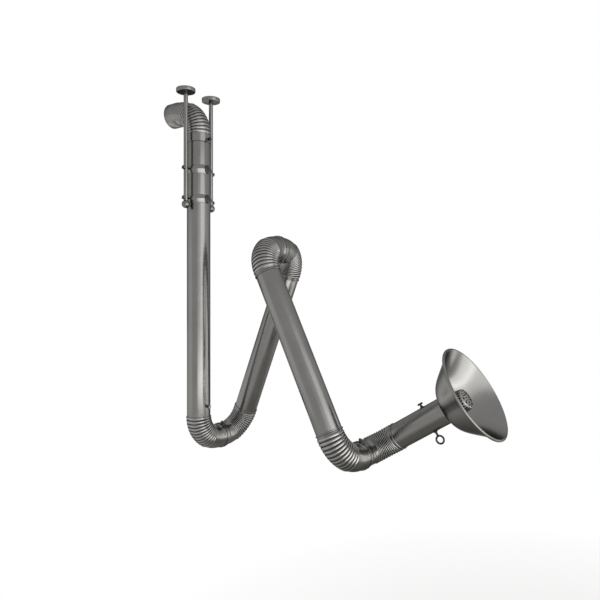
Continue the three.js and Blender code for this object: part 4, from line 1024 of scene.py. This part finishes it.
bush = rounded([(BUSH_BORE, BUSH_START), (BUSH_RADIUS, BUSH_START), (BUSH_RADIUS, FLANGE_START),
                (FLANGE_RADIUS, FLANGE_START), (FLANGE_RADIUS, FLANGE_END), (BUSH_BORE, FLANGE_END)], 0.7)
for side, way in (("knob_side", -90), ("eye_side", 90)):
    fit(turned("damper_bush_" + side + "_skin", bush, sides=32), DAMPER @ turn(way, "Y"), "hood",
        "black_nylon", "damper_bush_" + side)
shaft = rounded(square(0, SHAFT_RADIUS, -SHAFT_REACH, SHAFT_REACH), 0.8)
fit(turned("damper_shaft_skin", shaft, sides=24), DAMPER @ turn(90, "Y"), "damper", "polished_stainless",
    "damper_shaft")
blade = rounded(square(0, BLADE_RADIUS, BLADE_LOW, BLADE_TOP), 0.6)
fit(turned("damper_blade_skin", blade, sides=72), DAMPER @ turn(-90, "X"), "damper", "satin_stainless",
    "damper_blade")
pan = rounded([(0, -5), (2, -5), (2, 6.2), (PAN_RADIUS, 6.2), (PAN_RADIUS, 7.6), (2.4, 8.8), (0, 8.8)], 0.5)
for side, x in (("knob_side", -PAN_PLACE), ("eye_side", PAN_PLACE)):
    fit(turned("blade_screw_" + side + "_skin", pan, sides=24), DAMPER @ move(x, 0, 0) @ turn(-90, "X"),
        "damper", "polished_stainless", "blade_screw_" + side)

# %% Knob and eye
STEM_START, STEM_END, FOOT_RADIUS, STEM_RADIUS = 57.14, 72, 6, 4.6
WIRE_RADIUS, BAR_HALF, BAR_REACH = 4, 9, 70  # of the knob's crossbar
LOOP_RADIUS, LOOP_REACH, LOOP_ROOT, WIRE_SIDES = 16, 91, 75.5, 20  # of the eye

stem = rounded([(4.3, STEM_START), (FOOT_RADIUS, STEM_START), (FOOT_RADIUS, 60), (STEM_RADIUS, 61.6),
                (STEM_RADIUS, STEM_END), (4.3, STEM_END)], 0.6)
quarter = [math.pi / 2 * k / 6 for k in range(7)]
cap = [(WIRE_RADIUS * math.sin(a), BAR_HALF + WIRE_RADIUS * math.cos(a)) for a in quarter]
bar = [(r, -h) for r, h in cap] + [(r, h) for r, h in reversed(cap)]
knob = turned("damper_knob_skin", [(0, STEM_START)] + stem[1:-2] + [(0, STEM_END)], sides=32)
crossbar = turned("crossbar", bar, sides=28)
crossbar.data.transform(move(0, 0, BAR_REACH) @ turn(90, "Y"))
fit(joined(knob, crossbar), DAMPER @ turn(-90, "Y"), "damper", "dark_zinc_steel", "damper_knob")
eye = turned("damper_eye_skin", [(0, STEM_START)] + stem[1:-2] + [(0, LOOP_ROOT)], sides=32)
wire = [(LOOP_RADIUS + WIRE_RADIUS * x, WIRE_RADIUS * y) for x, y in compass(WIRE_SIDES)]
loop = turned("eye_loop", wire, sides=56)
loop.data.transform(move(0, 0, LOOP_REACH) @ turn(90, "X"))
fit(joined(eye, loop), DAMPER @ turn(90, "Y"), "damper", "dark_zinc_steel", "damper_eye")

# %% [markdown]
# ## Size of the solids
# The looks must not change how big the arm is, so the size of the box of the solids is printed.

# %% Sizes and finish
print("solids", [round(v, 4) for v in cad_box[1] - cad_box[0]])
